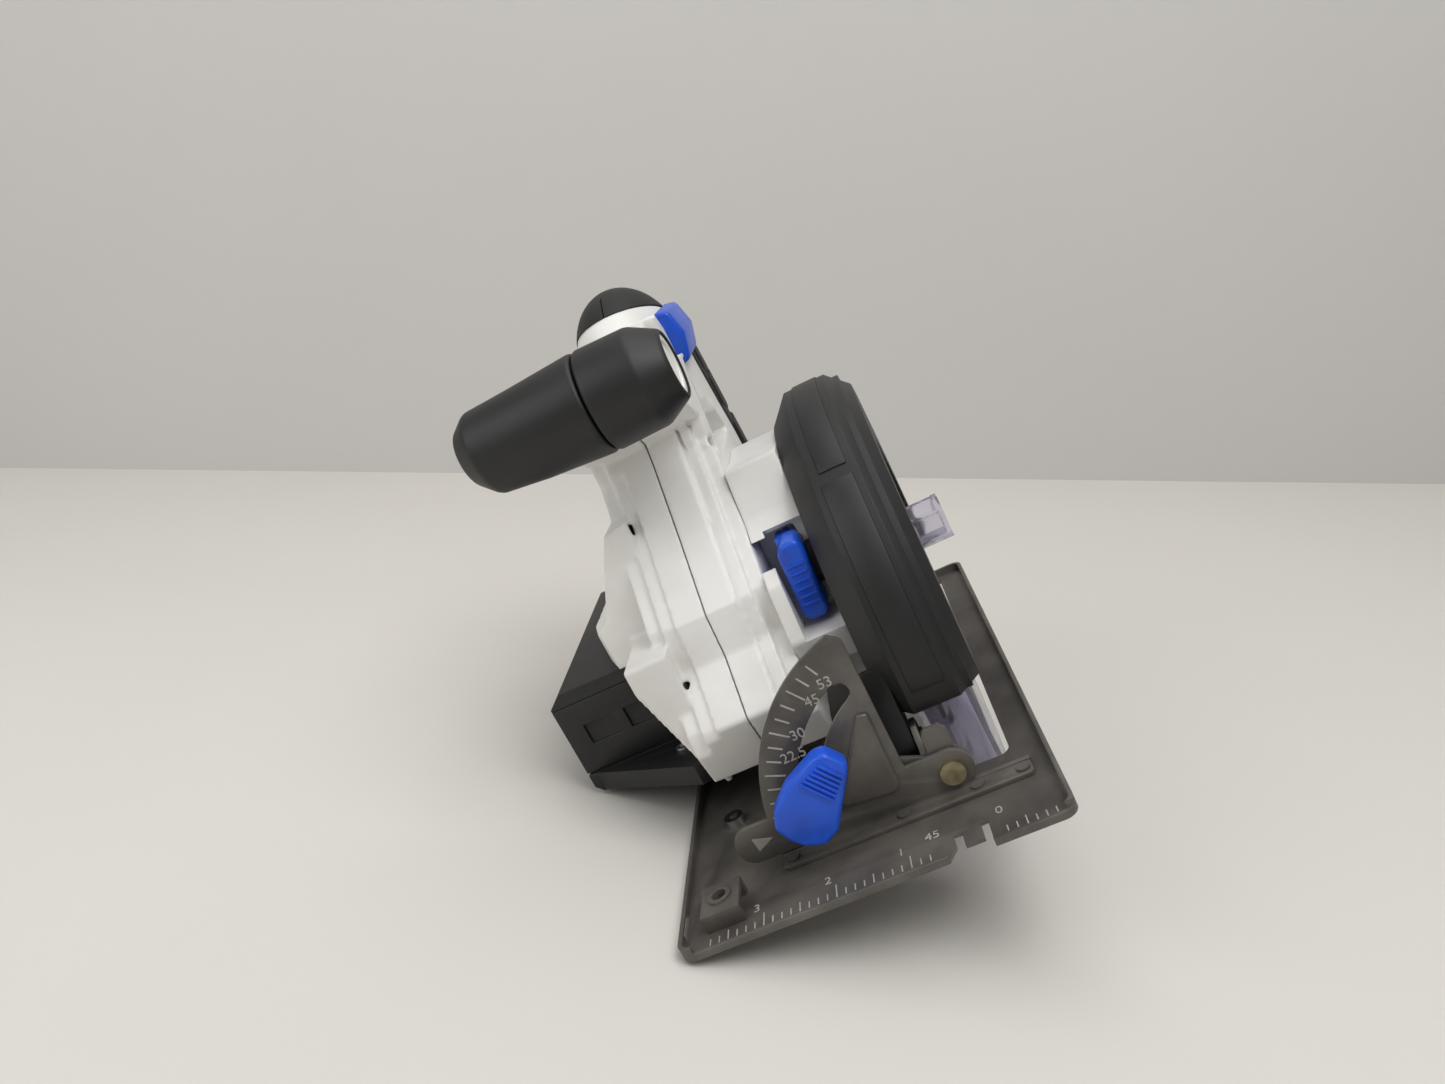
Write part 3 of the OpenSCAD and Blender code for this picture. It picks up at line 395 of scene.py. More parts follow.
def make_materials(c):
    # ABS moulded against a fine-etched tool: soft satin with a faint dusty unevenness
    surface("moulded white ABS", tuple(c.white), linear("#DEDCD7"), 0.5, 38, 0.42, 0.02, ior=1.53)
    # glass-filled nylon with a spark-eroded grain: black, matt, scuffed grey where it is handled
    surface("moulded black nylon", tuple(c.black), linear("#101011"), 0.45, 22, 0.5, 0.05,
            wear=linear("#4A4948"), ior=1.53)
    # rubber overmould: deeper black, soft and matt
    surface("overmoulded rubber", linear("#181819"), linear("#121213"), 0.35, 18, 0.6, 0.04, ior=1.5)
    # acetal controls: saturated blue with a slight waxy shine
    surface("moulded blue acetal", tuple(c.blue), linear("#164BBE"), 0.5, 14, 0.34, 0.015, ior=1.48)
    # pressed sheet steel under thin dark grey paint: satin, with pale scratches
    surface("painted sheet steel", tuple(c.steel), linear("#4F4C49"), 0.6, 26, 0.42, 0.02,
            metallic=0.35, wear=linear("#8F8B84"))
    # the same paint on raised marks, rubbed paler by use
    surface("rubbed paint marks", linear("#BDB9B2"), linear("#A39F98"), 0.4, 8, 0.45, 0.01, metallic=0.3)
    # bright zinc-plated steel hardware
    surface("zinc plated steel", linear("#BFC0C1"), linear("#A9AAAB"), 0.3, 6, 0.3, 0.01, metallic=1.0)
    # yellow passivated zinc: warm brassy grey
    surface("yellow passivated zinc", linear("#D2C8A6"), linear("#B5AA86"), 0.3, 4, 0.36, 0.01, metallic=1.0)
    # blackened screws
    surface("blackened steel", linear("#37373A"), linear("#2A2A2C"), 0.3, 5, 0.38, 0.01, metallic=1.0)
    # ground blade steel, with the grinding lines round it drawn coarse enough to show
    surface("ground blade steel", linear("#B4B5B6"), linear("#9A9B9D"), 0.5, 12, 0.28, 0.012,
            metallic=1.0, streak=(1, 1, 0.2))
    # turned and hobbed gear steel, oiled
    surface("cut gear steel", linear("#8D8F92"), linear("#6F7174"), 0.4, 5, 0.3, 0.01, metallic=1.0)
    # pressed motor can, nickel plated
    surface("nickel plated steel", linear("#9A9A98"), linear("#868684"), 0.4, 9, 0.32, 0.01, metallic=1.0)
    # copper winding, lacquered
    surface("lacquered copper", linear("#A9683C"), linear("#8A5230"), 0.6, 4, 0.35, 0.05, metallic=1.0)
    # brass strip
    surface("brass strip", linear("#C4A352"), linear("#AD8E43"), 0.3, 5, 0.3, 0.01, metallic=1.0)
    # sintered ferrite magnets and carbon brushes: dull and grainy
    surface("sintered ferrite", linear("#38383A"), linear("#2D2D2F"), 0.5, 4, 0.7, 0.04)
    surface("pressed carbon", linear("#453F3A"), linear("#36312D"), 0.4, 3, 0.65, 0.04)
    # solder mask over a glass-fibre board
    surface("solder mask", linear("#1F6B3A"), linear("#185630"), 0.8, 6, 0.3, 0.01, coat=0.4)
    # shrink sleeve over the cells
    surface("shrink sleeve", linear("#3F7F5A"), linear("#37704F"), 0.6, 12, 0.35, 0.01)
    clear_guard(c)


def clear_guard(c):
    """Moulded polycarbonate: clear, faintly violet, a little scratched, darker seen edge on."""
    tree, out, where = blank("moulded clear polycarbonate")
    haze = add_node(tree, "ShaderNodeTexNoise", [("Vector", where, "Object")],
                    in_Scale=1 / (9 * MM), in_Detail=6.0)
    rough = add_node(tree, "ShaderNodeMapRange", [("Value", haze, "Fac")], in_To_Min=0.08, in_To_Max=0.3)
    bump = add_node(tree, "ShaderNodeBump", [("Height", haze, "Fac")],
                    in_Strength=0.15, in_Distance=0.02 * MM)
    shader = add_node(tree, "ShaderNodeBsdfPrincipled",
                      [("Roughness", rough, "Result"), ("Normal", bump, "Normal")],
                      in_Transmission_Weight=0.92, in_IOR=1.3)
    shader.inputs["Base Color"].default_value = tuple(c.clear)
    tree.links.new(shader.outputs[0], out.inputs[0])


# what each node that stays in view, or sits inside, is made of
NODE_FINISH = {
    "painted sheet steel": ["base_plate", "guide_screw_seat", "bevel_quadrant", "quadrant_rivets",
                            "rear_guide_plate", "front_tilt_bracket", "rear_tilt_bracket"],
    "yellow passivated zinc": ["front_pivot_rivet", "rear_guide_stud"],
    "zinc plated steel": ["base_stop_screw", "bevel_bolt", "depth_pivot_pin", "guard_screws", "depth_bolt",
                          "guard_spring", "trigger_spring", "spindle", "inner_flange", "outer_flange",
                          "ball_bearings"],
    "blackened steel": ["blade_bolt", "housing_screws"],
    "ground blade steel": ["blade"],
    "cut gear steel": ["spindle_gear", "idler_gear"],
    "nickel plated steel": ["motor_can"],
    "moulded black nylon": ["upper_guard", "front_handle_left", "front_handle_right", "spindle_lock_collar",
                            "pack_stop", "battery_case", "battery_lid", "battery_latch", "switch_body",
                            "terminal_block", "motor_fan", "end_bell"],
    "moulded white ABS": ["gear_cover", "housing_left", "housing_right", "handle_end_plug"],
    "moulded blue acetal": ["bevel_lever", "depth_lever", "trigger", "lock_off_button",
                            "spindle_lock_button"],
    "moulded clear polycarbonate": ["lower_guard"],
    "overmoulded rubber": ["grip_overmould", "guard_bumper"],
    "lacquered copper": ["armature"],
    "brass strip": ["commutator", "battery_terminals"],
    "sintered ferrite": ["motor_magnets"],
    "pressed carbon": ["motor_brushes"],
    "solder mask": ["control_board"],
    "shrink sleeve": ["battery_cells"],
}


class SAW_OT_finishes(bpy.types.Operator):
    """Make the materials and dress every frame node"""
    bl_idname = "saw.finishes"
    bl_label = "Finishes"

    def execute(self, context):
        make_materials(context.scene.saw_colours)
        for material, nodes in NODE_FINISH.items():
            for node in nodes:
                for place in NODES[node].material_slots:
                    place.material = bpy.data.materials[material]
        return {"FINISHED"}


# ---------- housing ----------

COLUMN_FRONT = [(54, 46), (69, 65), (70, 76), (72, 81), (92.5, 105), (95.5, 111), (112, 130), (117, 138)]


def groove(x, width, deep):
    """A thin plate whose edge follows the column's front, to cut one moulded line there."""
    inner = [(y + deep, z - deep * 0.4) for y, z in reversed(COLUMN_FRONT)]
    outer = [(y - 6, z + 3) for y, z in COLUMN_FRONT]
    return slab(outer + inner, "X", x - width / 2, x + width / 2)


def above_grip(left, right):
    """What is taken off the housing where the grip's head stands, and down one side of the grip."""
    head = [(148, 186), (163, 171), (215, 168), (250, 150), (260, 215), (148, 215)]
    side = [(122, 215), (122, 160), (150, 160), (166, 150), (166, 132), (182, 104), (214, 78), (250, 78),
            (260, 215)]
    return [slab(head, "X", -100, -20),
            slab(side, "X", left, right)]


class SAW_OT_housing(bpy.types.Operator):
    """The two moulded housing halves, rounded as moulded, with their parting line and grooves"""
    bl_idname = "saw.housing"
    bl_label = "Housing"

    def execute(self, context):
        sizes = context.scene.saw_sizes
        seam = SEAM_X / MM
        voxel = 0.0009
        passes = max(1, round(sizes.mould_round / (voxel * 1.2)))
        half_gap = sizes.seam_gap / MM / 2
        right = copied("housing_shell_right", "housing_right", flat=False)
        moulded(right, voxel, passes, 0.22)
        cut(right, *above_grip(seam + 20, seam + 40), block((seam - 1, 0, 0), (seam + half_gap, 300, 220)),
            groove(seam + 13.5, 1.4, 1.6), groove(seam + 18.5, 1.4, 1.6))
        smooth(right, 32)
        finish_piece(right, "moulded white ABS", "saw_head", "housing_right", slot="white_plastic")
        left = copied("housing_shell_left", "housing_left", flat=False)
        moulded(left, voxel, passes, 0.22)
        cut(left, *above_grip(seam - 40, seam - 20.4), block((seam - half_gap, 0, 0), (seam + 1, 300, 220)))
        smooth(left, 32)
        finish_piece(left, "moulded white ABS", "saw_head", "housing_left", slot="white_plastic")
        cover = copied("gear_cover_shell", "gear_cover", flat=False)
        moulded(cover, 0.0009, 2, 0.3)
        cut(cover, block((-32.6, 60, 59.5), (-16, 92, 95.5)))
        smooth(cover, 32)
        finish_piece(cover, "moulded white ABS", "saw_head", "gear_cover", slot="white_plastic")
        return {"FINISHED"}


# ---------- handles ----------

def barrel(name, stations):
    """One half of the front handle: an oval barrel with a crisp parting edge."""
    piece = lofted(name, stations, 64)
    return smooth(bevel(piece, 0.6 * MM, 3, 14), 50)


class SAW_OT_front_handle(bpy.types.Operator):
    """The tapering front handle in two moulded halves, with the white disc in its right end"""
    bl_idname = "saw.front_handle"
    bl_label = "Front handle"

    def execute(self, context):
        sizes = context.scene.saw_sizes
        y, z = BAR.y / MM, BAR.z / MM
        seam = SEAM_X / MM
        gap = sizes.seam_gap / MM / 2
        left = barrel("front_handle_shell_left", [
            (-112.4, y, z + 1.6, 9.2, 9), (-111.6, y, z + 1.5, 10.6, 10.4), (-106.4, y, z + 1, 15.2, 14.8),
            (-105, y, z + 0.9, 15.9, 15.5), (-88, y, z + 0.2, 17.4, 16.9),
            (seam - 1.4, y, z, 18.9, 18.5), (seam - gap, y, z, 18.2, 17.8)])
        finish_piece(left, "moulded black nylon", "saw_head", "front_handle_left", slot="black_plastic")
        right = barrel("front_handle_shell_right", [
            (seam + gap, y, z, 18.2, 17.8), (seam + 1.4, y, z, 18.9, 18.5), (-42.6, y, z, 18.5, 18.1),
            (-41, y, z, 18, 17.6), (-32.6, y, z, 13.4, 13), (-31.6, y, z, 12.4, 12)])
        cut(right, rod("X", -35.2, -20, (y, z), 11.4, 64))
        smooth(right, 50)
        finish_piece(right, "moulded black nylon", "saw_head", "front_handle_right", slot="black_plastic")
        disc = rod("X", -36, -32.4, (y, z), 11.2, 64, "handle_end_disc")
        cut(disc, rod("X", -33.3, -30, (y, z), 8.6, 64))
        smooth(bevel(disc, 0.5 * MM, 3), 40)
        finish_piece(disc, "moulded white ABS", "saw_head", "handle_end_plug", slot="white_plastic")
        return {"FINISHED"}


def grip_head(name, seam, inset=0.0):
    """The rounded head of the grip, before it is parted into its rubber crown and its white band."""
    deselect()
    bpy.ops.mesh.primitive_uv_sphere_add(
        segments=96, ring_count=48, radius=1, location=((seam - 0.6) * MM, 189 * MM, 165 * MM),
        scale=[(r - inset) * MM for r in (22.6, 37.0, 29.6)])
    head = named(name)
    halve(head, (0, 0, 161), (0, 0, -1))
    return head


class SAW_OT_rear_grip(bpy.types.Operator):
    """The rubber over the top and back of the rear grip: a domed crown and a strap with raised pads"""
    bl_idname = "saw.rear_grip"
    bl_label = "Rear grip"

    def execute(self, context):
        sizes = context.scene.saw_sizes
        seam = SEAM_X / MM
        crown = grip_head("grip_crown", seam)
        halve(crown, (seam, 160, 186.4), (0.02, -0.28, -0.96))
        cut(crown, block((seam - 0.25, 120, 150), (seam + 0.25, 260, 192.6)))
        smooth(crown, 40)
        finish_piece(crown, "overmoulded rubber", "saw_head", slot="black_rubber")
        band = grip_head("grip_band", seam, 0.5)
        halve(band, (seam, 160, 186.2), (0, 0.28, 0.96))
        smooth(band, 40)
        finish_piece(band, "moulded white ABS", "saw_head", slot="white_plastic")
        outer = [(216, 172), (223.4, 164), (227.4, 150.4), (233.4, 125.6), (239, 108.4), (239.4, 92)]
        inner = [(229, 88), (221, 108), (213, 126), (205, 148), (203, 164)]
        strap = slab(outer + inner, "X", seam - 21.2, seam + 20.9, "grip_strap")
        bevel(strap, sizes.grip_round, 5, 60)
        pads = [slab([(y, z), (y + 5, z - 20), (y + 1.5, z - 23), (y - 8, z - 18), (y - 11, z - 4)],
                     "X", seam - 20.6, seam + 21.7, "pad")
                for y, z in ((221, 162), (226, 142), (233, 117))]
        for pad in pads:
            bevel(pad, 1.2 * MM, 3)
        strap = joined("grip_strap", [strap] + pads)
        smooth(strap, 40)
        finish_piece(strap, "overmoulded rubber", "saw_head", "grip_overmould", slot="black_rubber")
        return {"FINISHED"}


# ---------- guards ----------

class SAW_OT_guards(bpy.types.Operator):
    """The black upper guard with its raised rim panel, and the clear lower guard"""
    bl_idname = "saw.guards"
    bl_label = "Guards"

    def execute(self, context):
        sizes = context.scene.saw_sizes
        upper = copied("upper_guard_shell", "upper_guard")
        smooth(bevel(upper, sizes.guard_round, 3, 24), 40)
        finish_piece(upper, "moulded black nylon", "saw_head", "upper_guard", slot="black_plastic")
        panel = joined("guard_rim_panels", [rim_panel(222, 272, -5.5, 6.5), rim_panel(166, 219, -4.5, 6)])
        smooth(panel, 40)
        finish_piece(panel, "moulded black nylon", "saw_head", slot="black_plastic")
        lower = copied("lower_guard_shell", "lower_guard")
        bevel(lower, 0.4 * MM, 2, 40)
        smooth(lower, 40)
        finish_piece(lower, "moulded clear polycarbonate", "lower_guard_set", "lower_guard",
                     slot="clear_plastic")
        return {"FINISHED"}


def rim_panel(start, end, left, right):
    """A shallow raised panel that runs round the guard's rim, angles counted from the bottom to the rear."""
    radius = 89.2
    deselect()
    a = math.radians(start)
    place = SPINDLE + Vector(((left + right) / 2, radius * math.sin(a), -radius * math.cos(a))) * MM
    bpy.ops.mesh.primitive_plane_add(size=1, location=place, scale=((right - left) * MM, 1.6 * MM, 1))
    obj = bpy.context.object
    along = Vector((0, math.sin(a), -math.cos(a)))
    for vertex in obj.data.vertices:
        x = (left if vertex.co.x < 0 else right) * MM
        out = (radius + (1.4 if vertex.co.y > 0 else -1.0)) * MM
        vertex.co = Vector((x, 0, 0)) + Vector((0, SPINDLE.y, SPINDLE.z)) + along * out
    obj.location = (0, 0, 0)
    obj.scale = (1, 1, 1)
    pick(obj)
    bpy.ops.object.mode_set(mode="EDIT")
    bpy.ops.mesh.select_all(action="SELECT")
    bpy.ops.mesh.spin(steps=24, angle=math.radians(end - start), center=SPINDLE, axis=(-1, 0, 0))
    bpy.ops.mesh.select_all(action="SELECT")
    bpy.ops.mesh.remove_doubles(threshold=0.00001)
    bpy.ops.mesh.normals_make_consistent(inside=False)
    bpy.ops.object.mode_set(mode="OBJECT")
    return bevel(named("rim"), 0.5 * MM, 2, 60)


# ---------- pressed steel ----------

def round_corner():
    """The waste outside the rounded upper corner of the quadrant."""
    cx, cz, radius = -30.0, 56.0, 17.0
    arc = [(cx + radius * math.cos(math.radians(a)), cz + radius * math.sin(math.radians(a)))
           for a in range(0, 111, 10)]
    return slab(arc + [(cx - 6, 100), (10, 100), (10, cz)], "Y", 10, 40)


class SAW_OT_steel(bpy.types.Operator):
    """The base and quadrant with soft sheet edges, the pressed rib, the ruler and the bevel scale"""
    bl_idname = "saw.steel"
    bl_label = "Pressed steel"

    def execute(self, context):
        sizes = context.scene.saw_sizes
        for node, body in (("base_plate", "base"), ("bevel_quadrant", "base"), ("guide_screw_seat", "base"),
                           ("front_tilt_bracket", "tilt_frame"), ("rear_tilt_bracket", "tilt_frame"),
                           ("rear_guide_plate", "base")):
            sheet = copied(node + "_pressed", node)
            if node == "bevel_quadrant":
                cut(sheet, round_corner())
            smooth(bevel(sheet, sizes.steel_round, 2, 50), 40)
            finish_piece(sheet, "painted sheet steel", body, node, slot="pressed_steel_dark")
        face = high("bevel_quadrant").y / MM - 2
        rib = slab([(-24, 42), (-42, 14.5), (-41, 12), (-23, 10.5), (-21, 13), (-20.6, 41)],
                   "Y", face - 1.6, face + 0.4, "quadrant_rib")
        smooth(bevel(rib, 1.3 * MM, 4, 20), 60)
        finish_piece(rib, "painted sheet steel", "base", slot="pressed_steel_dark")
        marks = self.bevel_scale(face, sizes) + self.ruler(sizes)
        done = joined("scale_marks", marks)
        finish_piece(done, "rubbed paint marks", "base", slot="pressed_steel_dark")
        return {"FINISHED"}

    def bevel_scale(self, face, sizes):
        """Degree marks near the quadrant's edge, counted from the bolt's rest place."""
        marks = []
        rest = math.atan2(BOLT.z - PIVOT.z, PIVOT.x - BOLT.x)
        upright = (math.radians(90), 0, 0)
        for degree in range(0, 56, 5):
            a = rest + math.radians(degree)
            near, far = (56.5, 61.5) if degree % 15 else (55, 62)
            mark = block((near, face - 0.12, -0.3), (far, face + 0.1, 0.3), "mark")
            self.turn_about_pivot(mark, a)
            marks.append(mark)
        for degree, text in ((22.5, "22.5"), (30, "30"), (45, "45"), (53, "53")):
            a = rest + math.radians(degree - (0 if degree != 30 else -1))
            x = PIVOT.x / MM - 53.5 * math.cos(a) + 1
            z = PIVOT.z / MM + 53.5 * math.sin(a)
            place = (x, face - 0.02, z)
            marks.append(lettering(text, sizes.digit_height, place, upright, MARK_DEEP, "digits"))
        marks.append(slab([(-75.5, 13.6), (-74.8, 8.2), (-68.5, 11.4)], "Y", face - 0.14, face + 0.1, "zero"))
        return marks

    def turn_about_pivot(self, obj, angle):
        """Lays a mark drawn along +X so that it points out from the bevel pivot, up to the left."""
        turn = Matrix.Rotation(math.pi + angle, 4, "Y")
        obj.data.transform(Matrix.Translation((PIVOT.x, 0, PIVOT.z)) @ turn)
        return obj

    def ruler(self, sizes):
        """Marks every eighth of an inch along the front edge, and numbers each inch."""
        marks = []
        top = 1.6
        step = sizes.tick_step / MM
        left_end = int((low("base_plate").x / MM + 8) / step)
        right_end = int((high("base_plate").x / MM - 5) / step)
        for i in range(left_end, right_end + 1):
            if i * step > -16 and i * step < 4:
                continue
            deep = 6.6 if i % 8 == 0 else 4.8 if i % 4 == 0 else 3.4
            x = i * step
            marks.append(block((x - 0.22, 2.6, top - 0.05), (x + 0.22, 2.6 + deep, top + 0.1), "mark"))
        inches = [(str(-inch), inch * INCH - 2.6, 12.6) for inch in (-3, -2, -1)]
        for text, x, y in inches + [("0", 5.6, 15), ("45", -17, 15)]:
            marks.append(lettering(text, sizes.digit_height, (x, y, top), (0, 0, 0), MARK_DEEP, "digits"))
        return marks


# ---------- controls ----------

def ribbed(piece, ribs):
    for rib in ribs:
        bevel(rib, 0.35 * MM, 2)
    return joined(piece.name, [piece] + ribs)


class SAW_OT_controls(bpy.types.Operator):
    """Blue levers and buttons with finger ribs"""
    bl_idname = "saw.controls"
    bl_label = "Controls"

    def execute(self, context):
        front = low("bevel_lever").y / MM
        paddle_outline = [(-62.7, 21.5), (-60.5, 27.5), (-53.1, 34.4), (-41, 40.6), (-36.6, 40.6),
                          (-31.7, 34.1), (-32.4, 31.6), (-39.4, 20.5), (-43.6, 13.4), (-49.6, 9.8),
                          (-56.6, 12.4), (-60.4, 16.6)]
        lever = slab(paddle_outline, "Y", front - 0.6, front + 7.4, "lever")
        lever.name = "bevel_lever_moulded"
        smooth(bevel(lever, 1.7 * MM, 4, 20), 35)
        top = Vector((-41.6, 0, 31.4))
        along = Vector((0.80, 0, 0.60))
        ribs = []
        for i in range(6):
            rib = block((-0.5, front - 1.6, -6.2 + i * 0.3), (0.5, front + 0.4, 6.2 - i * 0.3), "rib")
            turn = Matrix.Rotation(math.atan2(-along.z, along.x), 4, "Y")
            rib.data.transform(Matrix.Translation((top + along * (i * 1.75 - 3.2)) * MM) @ turn)
            ribs.append(rib)
        hub = rod("Y", front + 6, high("bevel_lever").y / MM, (BOLT.x / MM, BOLT.z / MM), 5.6, 48, "hub")
        for piece in (lever, hub):
            cut(piece, rod("Y", front + 3.6, front + 40, (BOLT.x / MM, BOLT.z / MM), 4.4, 48))
        lever = ribbed(lever, ribs + [hub])
        smooth(lever, 35)
        finish_piece(lever, "moulded blue acetal", "bevel_clamp", "bevel_lever", slot="blue_plastic")
        stem = copied("spindle_lock_stem", "spindle_lock_button")
        y, z = middle("spindle_lock_button").y / MM, middle("spindle_lock_button").z / MM
        cap = slab([(-30.6, z - 12), (-29.2, z - 14.6), (-23.4, z - 15.2), (-21, z - 12), (-19.9, z + 12),
                    (-21.4, z + 15.6), (-27.2, z + 15.4), (-29.8, z + 12)], "Y", y - 18, y - 3, "cap")
        bevel(cap, 1.8 * MM, 4, 40)
        ribs = [block((-28.6, y - 18.8, z - 8.6 + i * 3), (-22, y - 17, z - 7.4 + i * 3), "rib")
                for i in range(6)]
        button = ribbed(cap, ribs)
        button = joined("spindle_lock_moulded", [button, stem])
        smooth(button, 35)
        finish_piece(button, "moulded blue acetal", "spindle_lock_set", "spindle_lock_button",
                     slot="blue_plastic")
        lo, hi = low("lock_off_button"), high("lock_off_button")
        paddle = slab([(-44, 178), (-37.4, 176.6), (-34.8, 166), (-37.6, 155), (-44, 153.6)],
                      "Y", 163, 203, "paddle")
        bevel(paddle, 1.8 * MM, 4, 30)
        rod_through = block((lo.x / MM, lo.y / MM, lo.z / MM), (-42, hi.y / MM, hi.z / MM), "through")
        paddle = joined("lock_off_moulded", [paddle, rod_through])
        smooth(paddle, 35)
        finish_piece(paddle, "moulded blue acetal", "lock_off_set", "lock_off_button", slot="blue_plastic")
        for node, body, width in (("trigger", "trigger_set", 1.4), ("depth_lever", "depth_clamp", 1.2)):
            piece = copied(node + "_moulded", node)
            smooth(bevel(piece, width * MM, 4, 40), 35)
            finish_piece(piece, "moulded blue acetal", body, node, slot="blue_plastic")
        return {"FINISHED"}


# ---------- battery ----------

class SAW_OT_battery(bpy.types.Operator):
    """The slide-on pack, with its ledge line, front recesses and side grips"""
    bl_idname = "saw.battery"
    bl_label = "Battery"

    def execute(self, context):
        x0, y0, z0 = (v / MM for v in low("battery_case"))
        x1, y1, _ = (v / MM for v in high("battery_case"))
        pack = copied("battery_shell", "battery_case")
        cutters = [block((x0 + a, y0 - 1, z0 + 21), (x0 + a + 13, y0 + 1.6, z0 + 30)) for a in (9, 27)]
        cutters.append(block((x0 - 1, y0 - 1, z0 + 8.8), (x1 + 1, y1 + 1, z0 + 9.7)))
        core = block((x0 + 1.1, y0 + 1.1, z0 + 8), (x1 - 1.1, y1 - 1.1, z0 + 10.5))
        cut(cutters[-1], core)
        cutters += [block((x0 - 1, y0 + 26 + i * 9, z0 + 14), (x0 + 1.2, y0 + 31 + i * 9, z0 + 32))
                    for i in range(7)]
        cut(pack, *cutters)
        smooth(bevel(pack, 0.9 * MM, 3, 40), 35)
        finish_piece(pack, "moulded black nylon", "battery", "battery_case", slot="black_plastic")
        lid = copied("battery_lid_shell", "battery_lid")
        smooth(bevel(lid, 0.9 * MM, 3, 40), 35)
        finish_piece(lid, "moulded black nylon", "battery", "battery_lid", slot="black_plastic")
        dock = copied("pack_stop_shell", "pack_stop")
        smooth(bevel(dock, 1.4 * MM, 3, 40), 35)
        finish_piece(dock, "moulded black nylon", "saw_head", "pack_stop", slot="black_plastic")
        hi = high("pack_stop")
        deselect()
        bpy.ops.mesh.primitive_cylinder_add(vertices=32, radius=3.1 * MM, depth=2 * MM,
                                            location=(-99 * MM, 92 * MM, hi.z + 0.4 * MM))
        screw = named("dock_screw")
        deselect()
        bpy.ops.mesh.primitive_cylinder_add(vertices=6, radius=1.5 * MM, depth=3 * MM,
                                            location=(-99 * MM, 92 * MM, hi.z + 2 * MM))
        cut(screw, named("socket"))
        smooth(bevel(screw, 0.3 * MM, 2), 35)
        finish_piece(screw, "zinc plated steel", "saw_head", slot="bright_steel")
        return {"FINISHED"}


# ---------- stage ----------

def stage_material(name, tint, patch_mm):
    """A plain wall or floor: pale to the camera, and seen through from behind so it hides nothing."""
    tree, out, where = blank(name)
    noise = add_node(tree, "ShaderNodeTexNoise", [("Vector", where, "Object")],
                     in_Scale=1 / (patch_mm * MM), in_Detail=4.0)
    mix = add_node(tree, "ShaderNodeMix", data_type="RGBA")
    base = tuple(tint)
    mix.inputs[6].default_value = [c * 0.95 for c in base[:3]] + [1]
    mix.inputs[7].default_value = base
    tree.links.new(noise.outputs["Fac"], mix.inputs[0])
    shader = add_node(tree, "ShaderNodeBsdfPrincipled", in_Roughness=0.85)
    tree.links.new(mix.outputs[2], shader.inputs["Base Color"])
    through = add_node(tree, "ShaderNodeBsdfTransparent")
    side = add_node(tree, "ShaderNodeNewGeometry")
    pickside = add_node(tree, "ShaderNodeMixShader", [(0, side, "Backfacing")])
    tree.links.new(shader.outputs[0], pickside.inputs[1])
    tree.links.new(through.outputs[0], pickside.inputs[2])
    tree.links.new(pickside.outputs[0], out.inputs[0])


def lamp(name, place, aim, width, watts):
    deselect()
    bpy.ops.object.light_add(type="AREA", location=place)
    obj = bpy.context.object
    obj.name = name
    obj.data.shape = "DISK"
    obj.data.size = width
    obj.data.energy = watts
    obj.rotation_euler = (Vector(aim) - Vector(place)).to_track_quat("-Z", "Y").to_euler()
    return obj


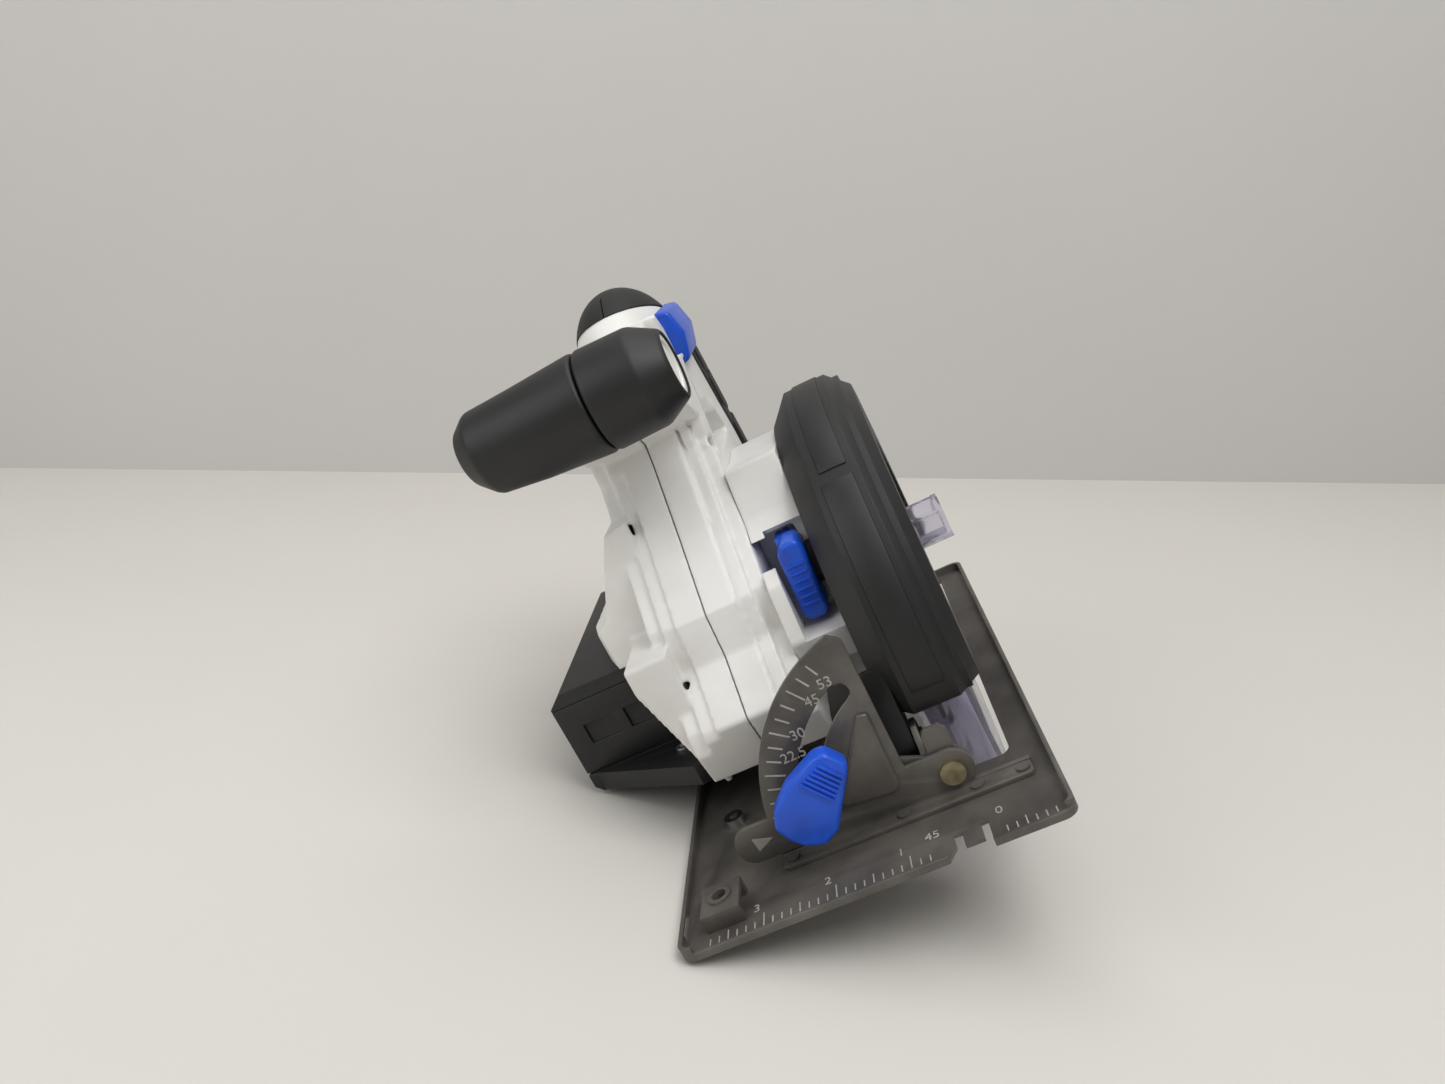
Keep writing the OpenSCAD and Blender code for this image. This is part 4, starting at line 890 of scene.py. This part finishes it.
class SAW_OT_stage(bpy.types.Operator):
    """Pale floor under the leaning saw, a wall, soft lamps and the camera"""
    bl_idname = "saw.stage"
    bl_label = "Stage"

    def execute(self, context):
        scene = context.scene
        # the saw leans on the base's left edge and the battery's lower left edge
        edge = Vector((low("base_plate").x, 0, 0))
        toe = Vector((low("battery_case").x, 0, low("battery_case").z))
        lean = math.atan2(toe.z - edge.z, edge.x - toe.x)
        up = Matrix.Rotation(lean, 3, "Y") @ Vector((0, 0, 1))
        stage_material("studio floor", scene.saw_colours.floor, 160)
        stage_material("studio wall", scene.saw_colours.backdrop, 260)
        deselect()
        bpy.ops.mesh.primitive_plane_add(size=3.2, location=edge - up * 0.0006,
                                         rotation=(0, lean, 0))
        floor = named("floor")
        floor.data.materials.append(bpy.data.materials["studio floor"])
        deselect()
        bpy.ops.mesh.primitive_plane_add(size=4.5, location=edge + Vector((0, 0.62, 0)),
                                         rotation=(math.radians(90), 0, 0))
        wall = named("wall")
        tilt = Matrix.Rotation(lean, 4, "Y")
        wall.data.transform(Matrix.Translation(edge) @ tilt @ Matrix.Translation(-edge))
        wall.data.materials.append(bpy.data.materials["studio wall"])
        aim = (cad_box[0] + cad_box[1]) / 2
        tall = Matrix.Rotation(lean, 3, "Y")
        for name, offset, width, watts in (("key", (0.35, -0.55, 1.15), 0.9, 9),
                                           ("fill", (-0.95, -0.55, 0.6), 1.0, 4.4),
                                           ("top", (-0.1, 0.25, 1.3), 1.1, 5.5)):
            lamp(name, aim + tall @ Vector(offset), aim, width, watts)
        world = bpy.data.worlds.new("soft studio air")
        scene.world = world
        world.use_nodes = True
        tree = world.node_tree
        tree.nodes.clear()
        seen = add_node(tree, "ShaderNodeLightPath")
        air = add_node(tree, "ShaderNodeBackground", in_Color=linear("#E6E4E0"), in_Strength=0.36)
        pale = add_node(tree, "ShaderNodeBackground", in_Color=linear("#D6D4D0"), in_Strength=1.0)
        mix = add_node(tree, "ShaderNodeMixShader", [(0, seen, "Is Camera Ray"), (1, air, 0), (2, pale, 0)])
        add_node(tree, "ShaderNodeOutputWorld", [("Surface", mix, 0)])
        scene.view_settings.view_transform = "Standard"
        self.camera(scene)
        return {"FINISHED"}

    def camera(self, scene):
        """A short lens in front of the saw, rolled by the saw's lean."""
        place = Vector((23.0, -290.3, 202.2)) * MM
        forward = Vector((-0.176, 0.949, -0.260)).normalized()
        right = Vector((0.895, 0.045, -0.443))
        right = (right - forward * right.dot(forward)).normalized()
        up = right.cross(forward)
        deselect()
        bpy.ops.object.camera_add(location=place)
        cam = bpy.context.object
        cam.name = "camera"
        cam.rotation_mode = "QUATERNION"
        cam.rotation_quaternion = Matrix((right, up, -forward)).transposed().to_quaternion()
        cam.data.sensor_width = 36
        cam.data.lens = 27.34
        cam.data.clip_start = 0.02
        cam.data.clip_end = 20
        scene.camera = cam


class SAW_PT_panel(bpy.types.Panel):
    """Builds the saw piece by piece"""
    bl_label = "Circular saw"
    bl_idname = "SAW_PT_panel"
    bl_space_type = "VIEW_3D"
    bl_region_type = "UI"
    bl_category = "Saw"

    def draw(self, context):
        for step in STEPS:
            self.layout.operator(step.bl_idname)
        for group in (context.scene.saw_sizes, context.scene.saw_colours):
            for key in group.bl_rna.properties.keys():
                if key not in ("rna_type", "name"):
                    self.layout.prop(group, key)


STEPS = [SAW_OT_finishes, SAW_OT_housing, SAW_OT_front_handle, SAW_OT_rear_grip, SAW_OT_guards, SAW_OT_steel,
         SAW_OT_controls, SAW_OT_battery, SAW_OT_stage]
CLASSES = [SawSizes, SawColours] + STEPS + [SAW_PT_panel]


def register():
    for cls in CLASSES:
        bpy.utils.register_class(cls)
    bpy.types.Scene.saw_sizes = bpy.props.PointerProperty(type=SawSizes)
    bpy.types.Scene.saw_colours = bpy.props.PointerProperty(type=SawColours)


def unregister():
    del bpy.types.Scene.saw_sizes
    del bpy.types.Scene.saw_colours
    for cls in reversed(CLASSES):
        bpy.utils.unregister_class(cls)


def main():
    register()
    for step in STEPS:
        group, name = step.bl_idname.split(".")
        getattr(getattr(bpy.ops, group), name)()


if __name__ == "__main__":
    main()
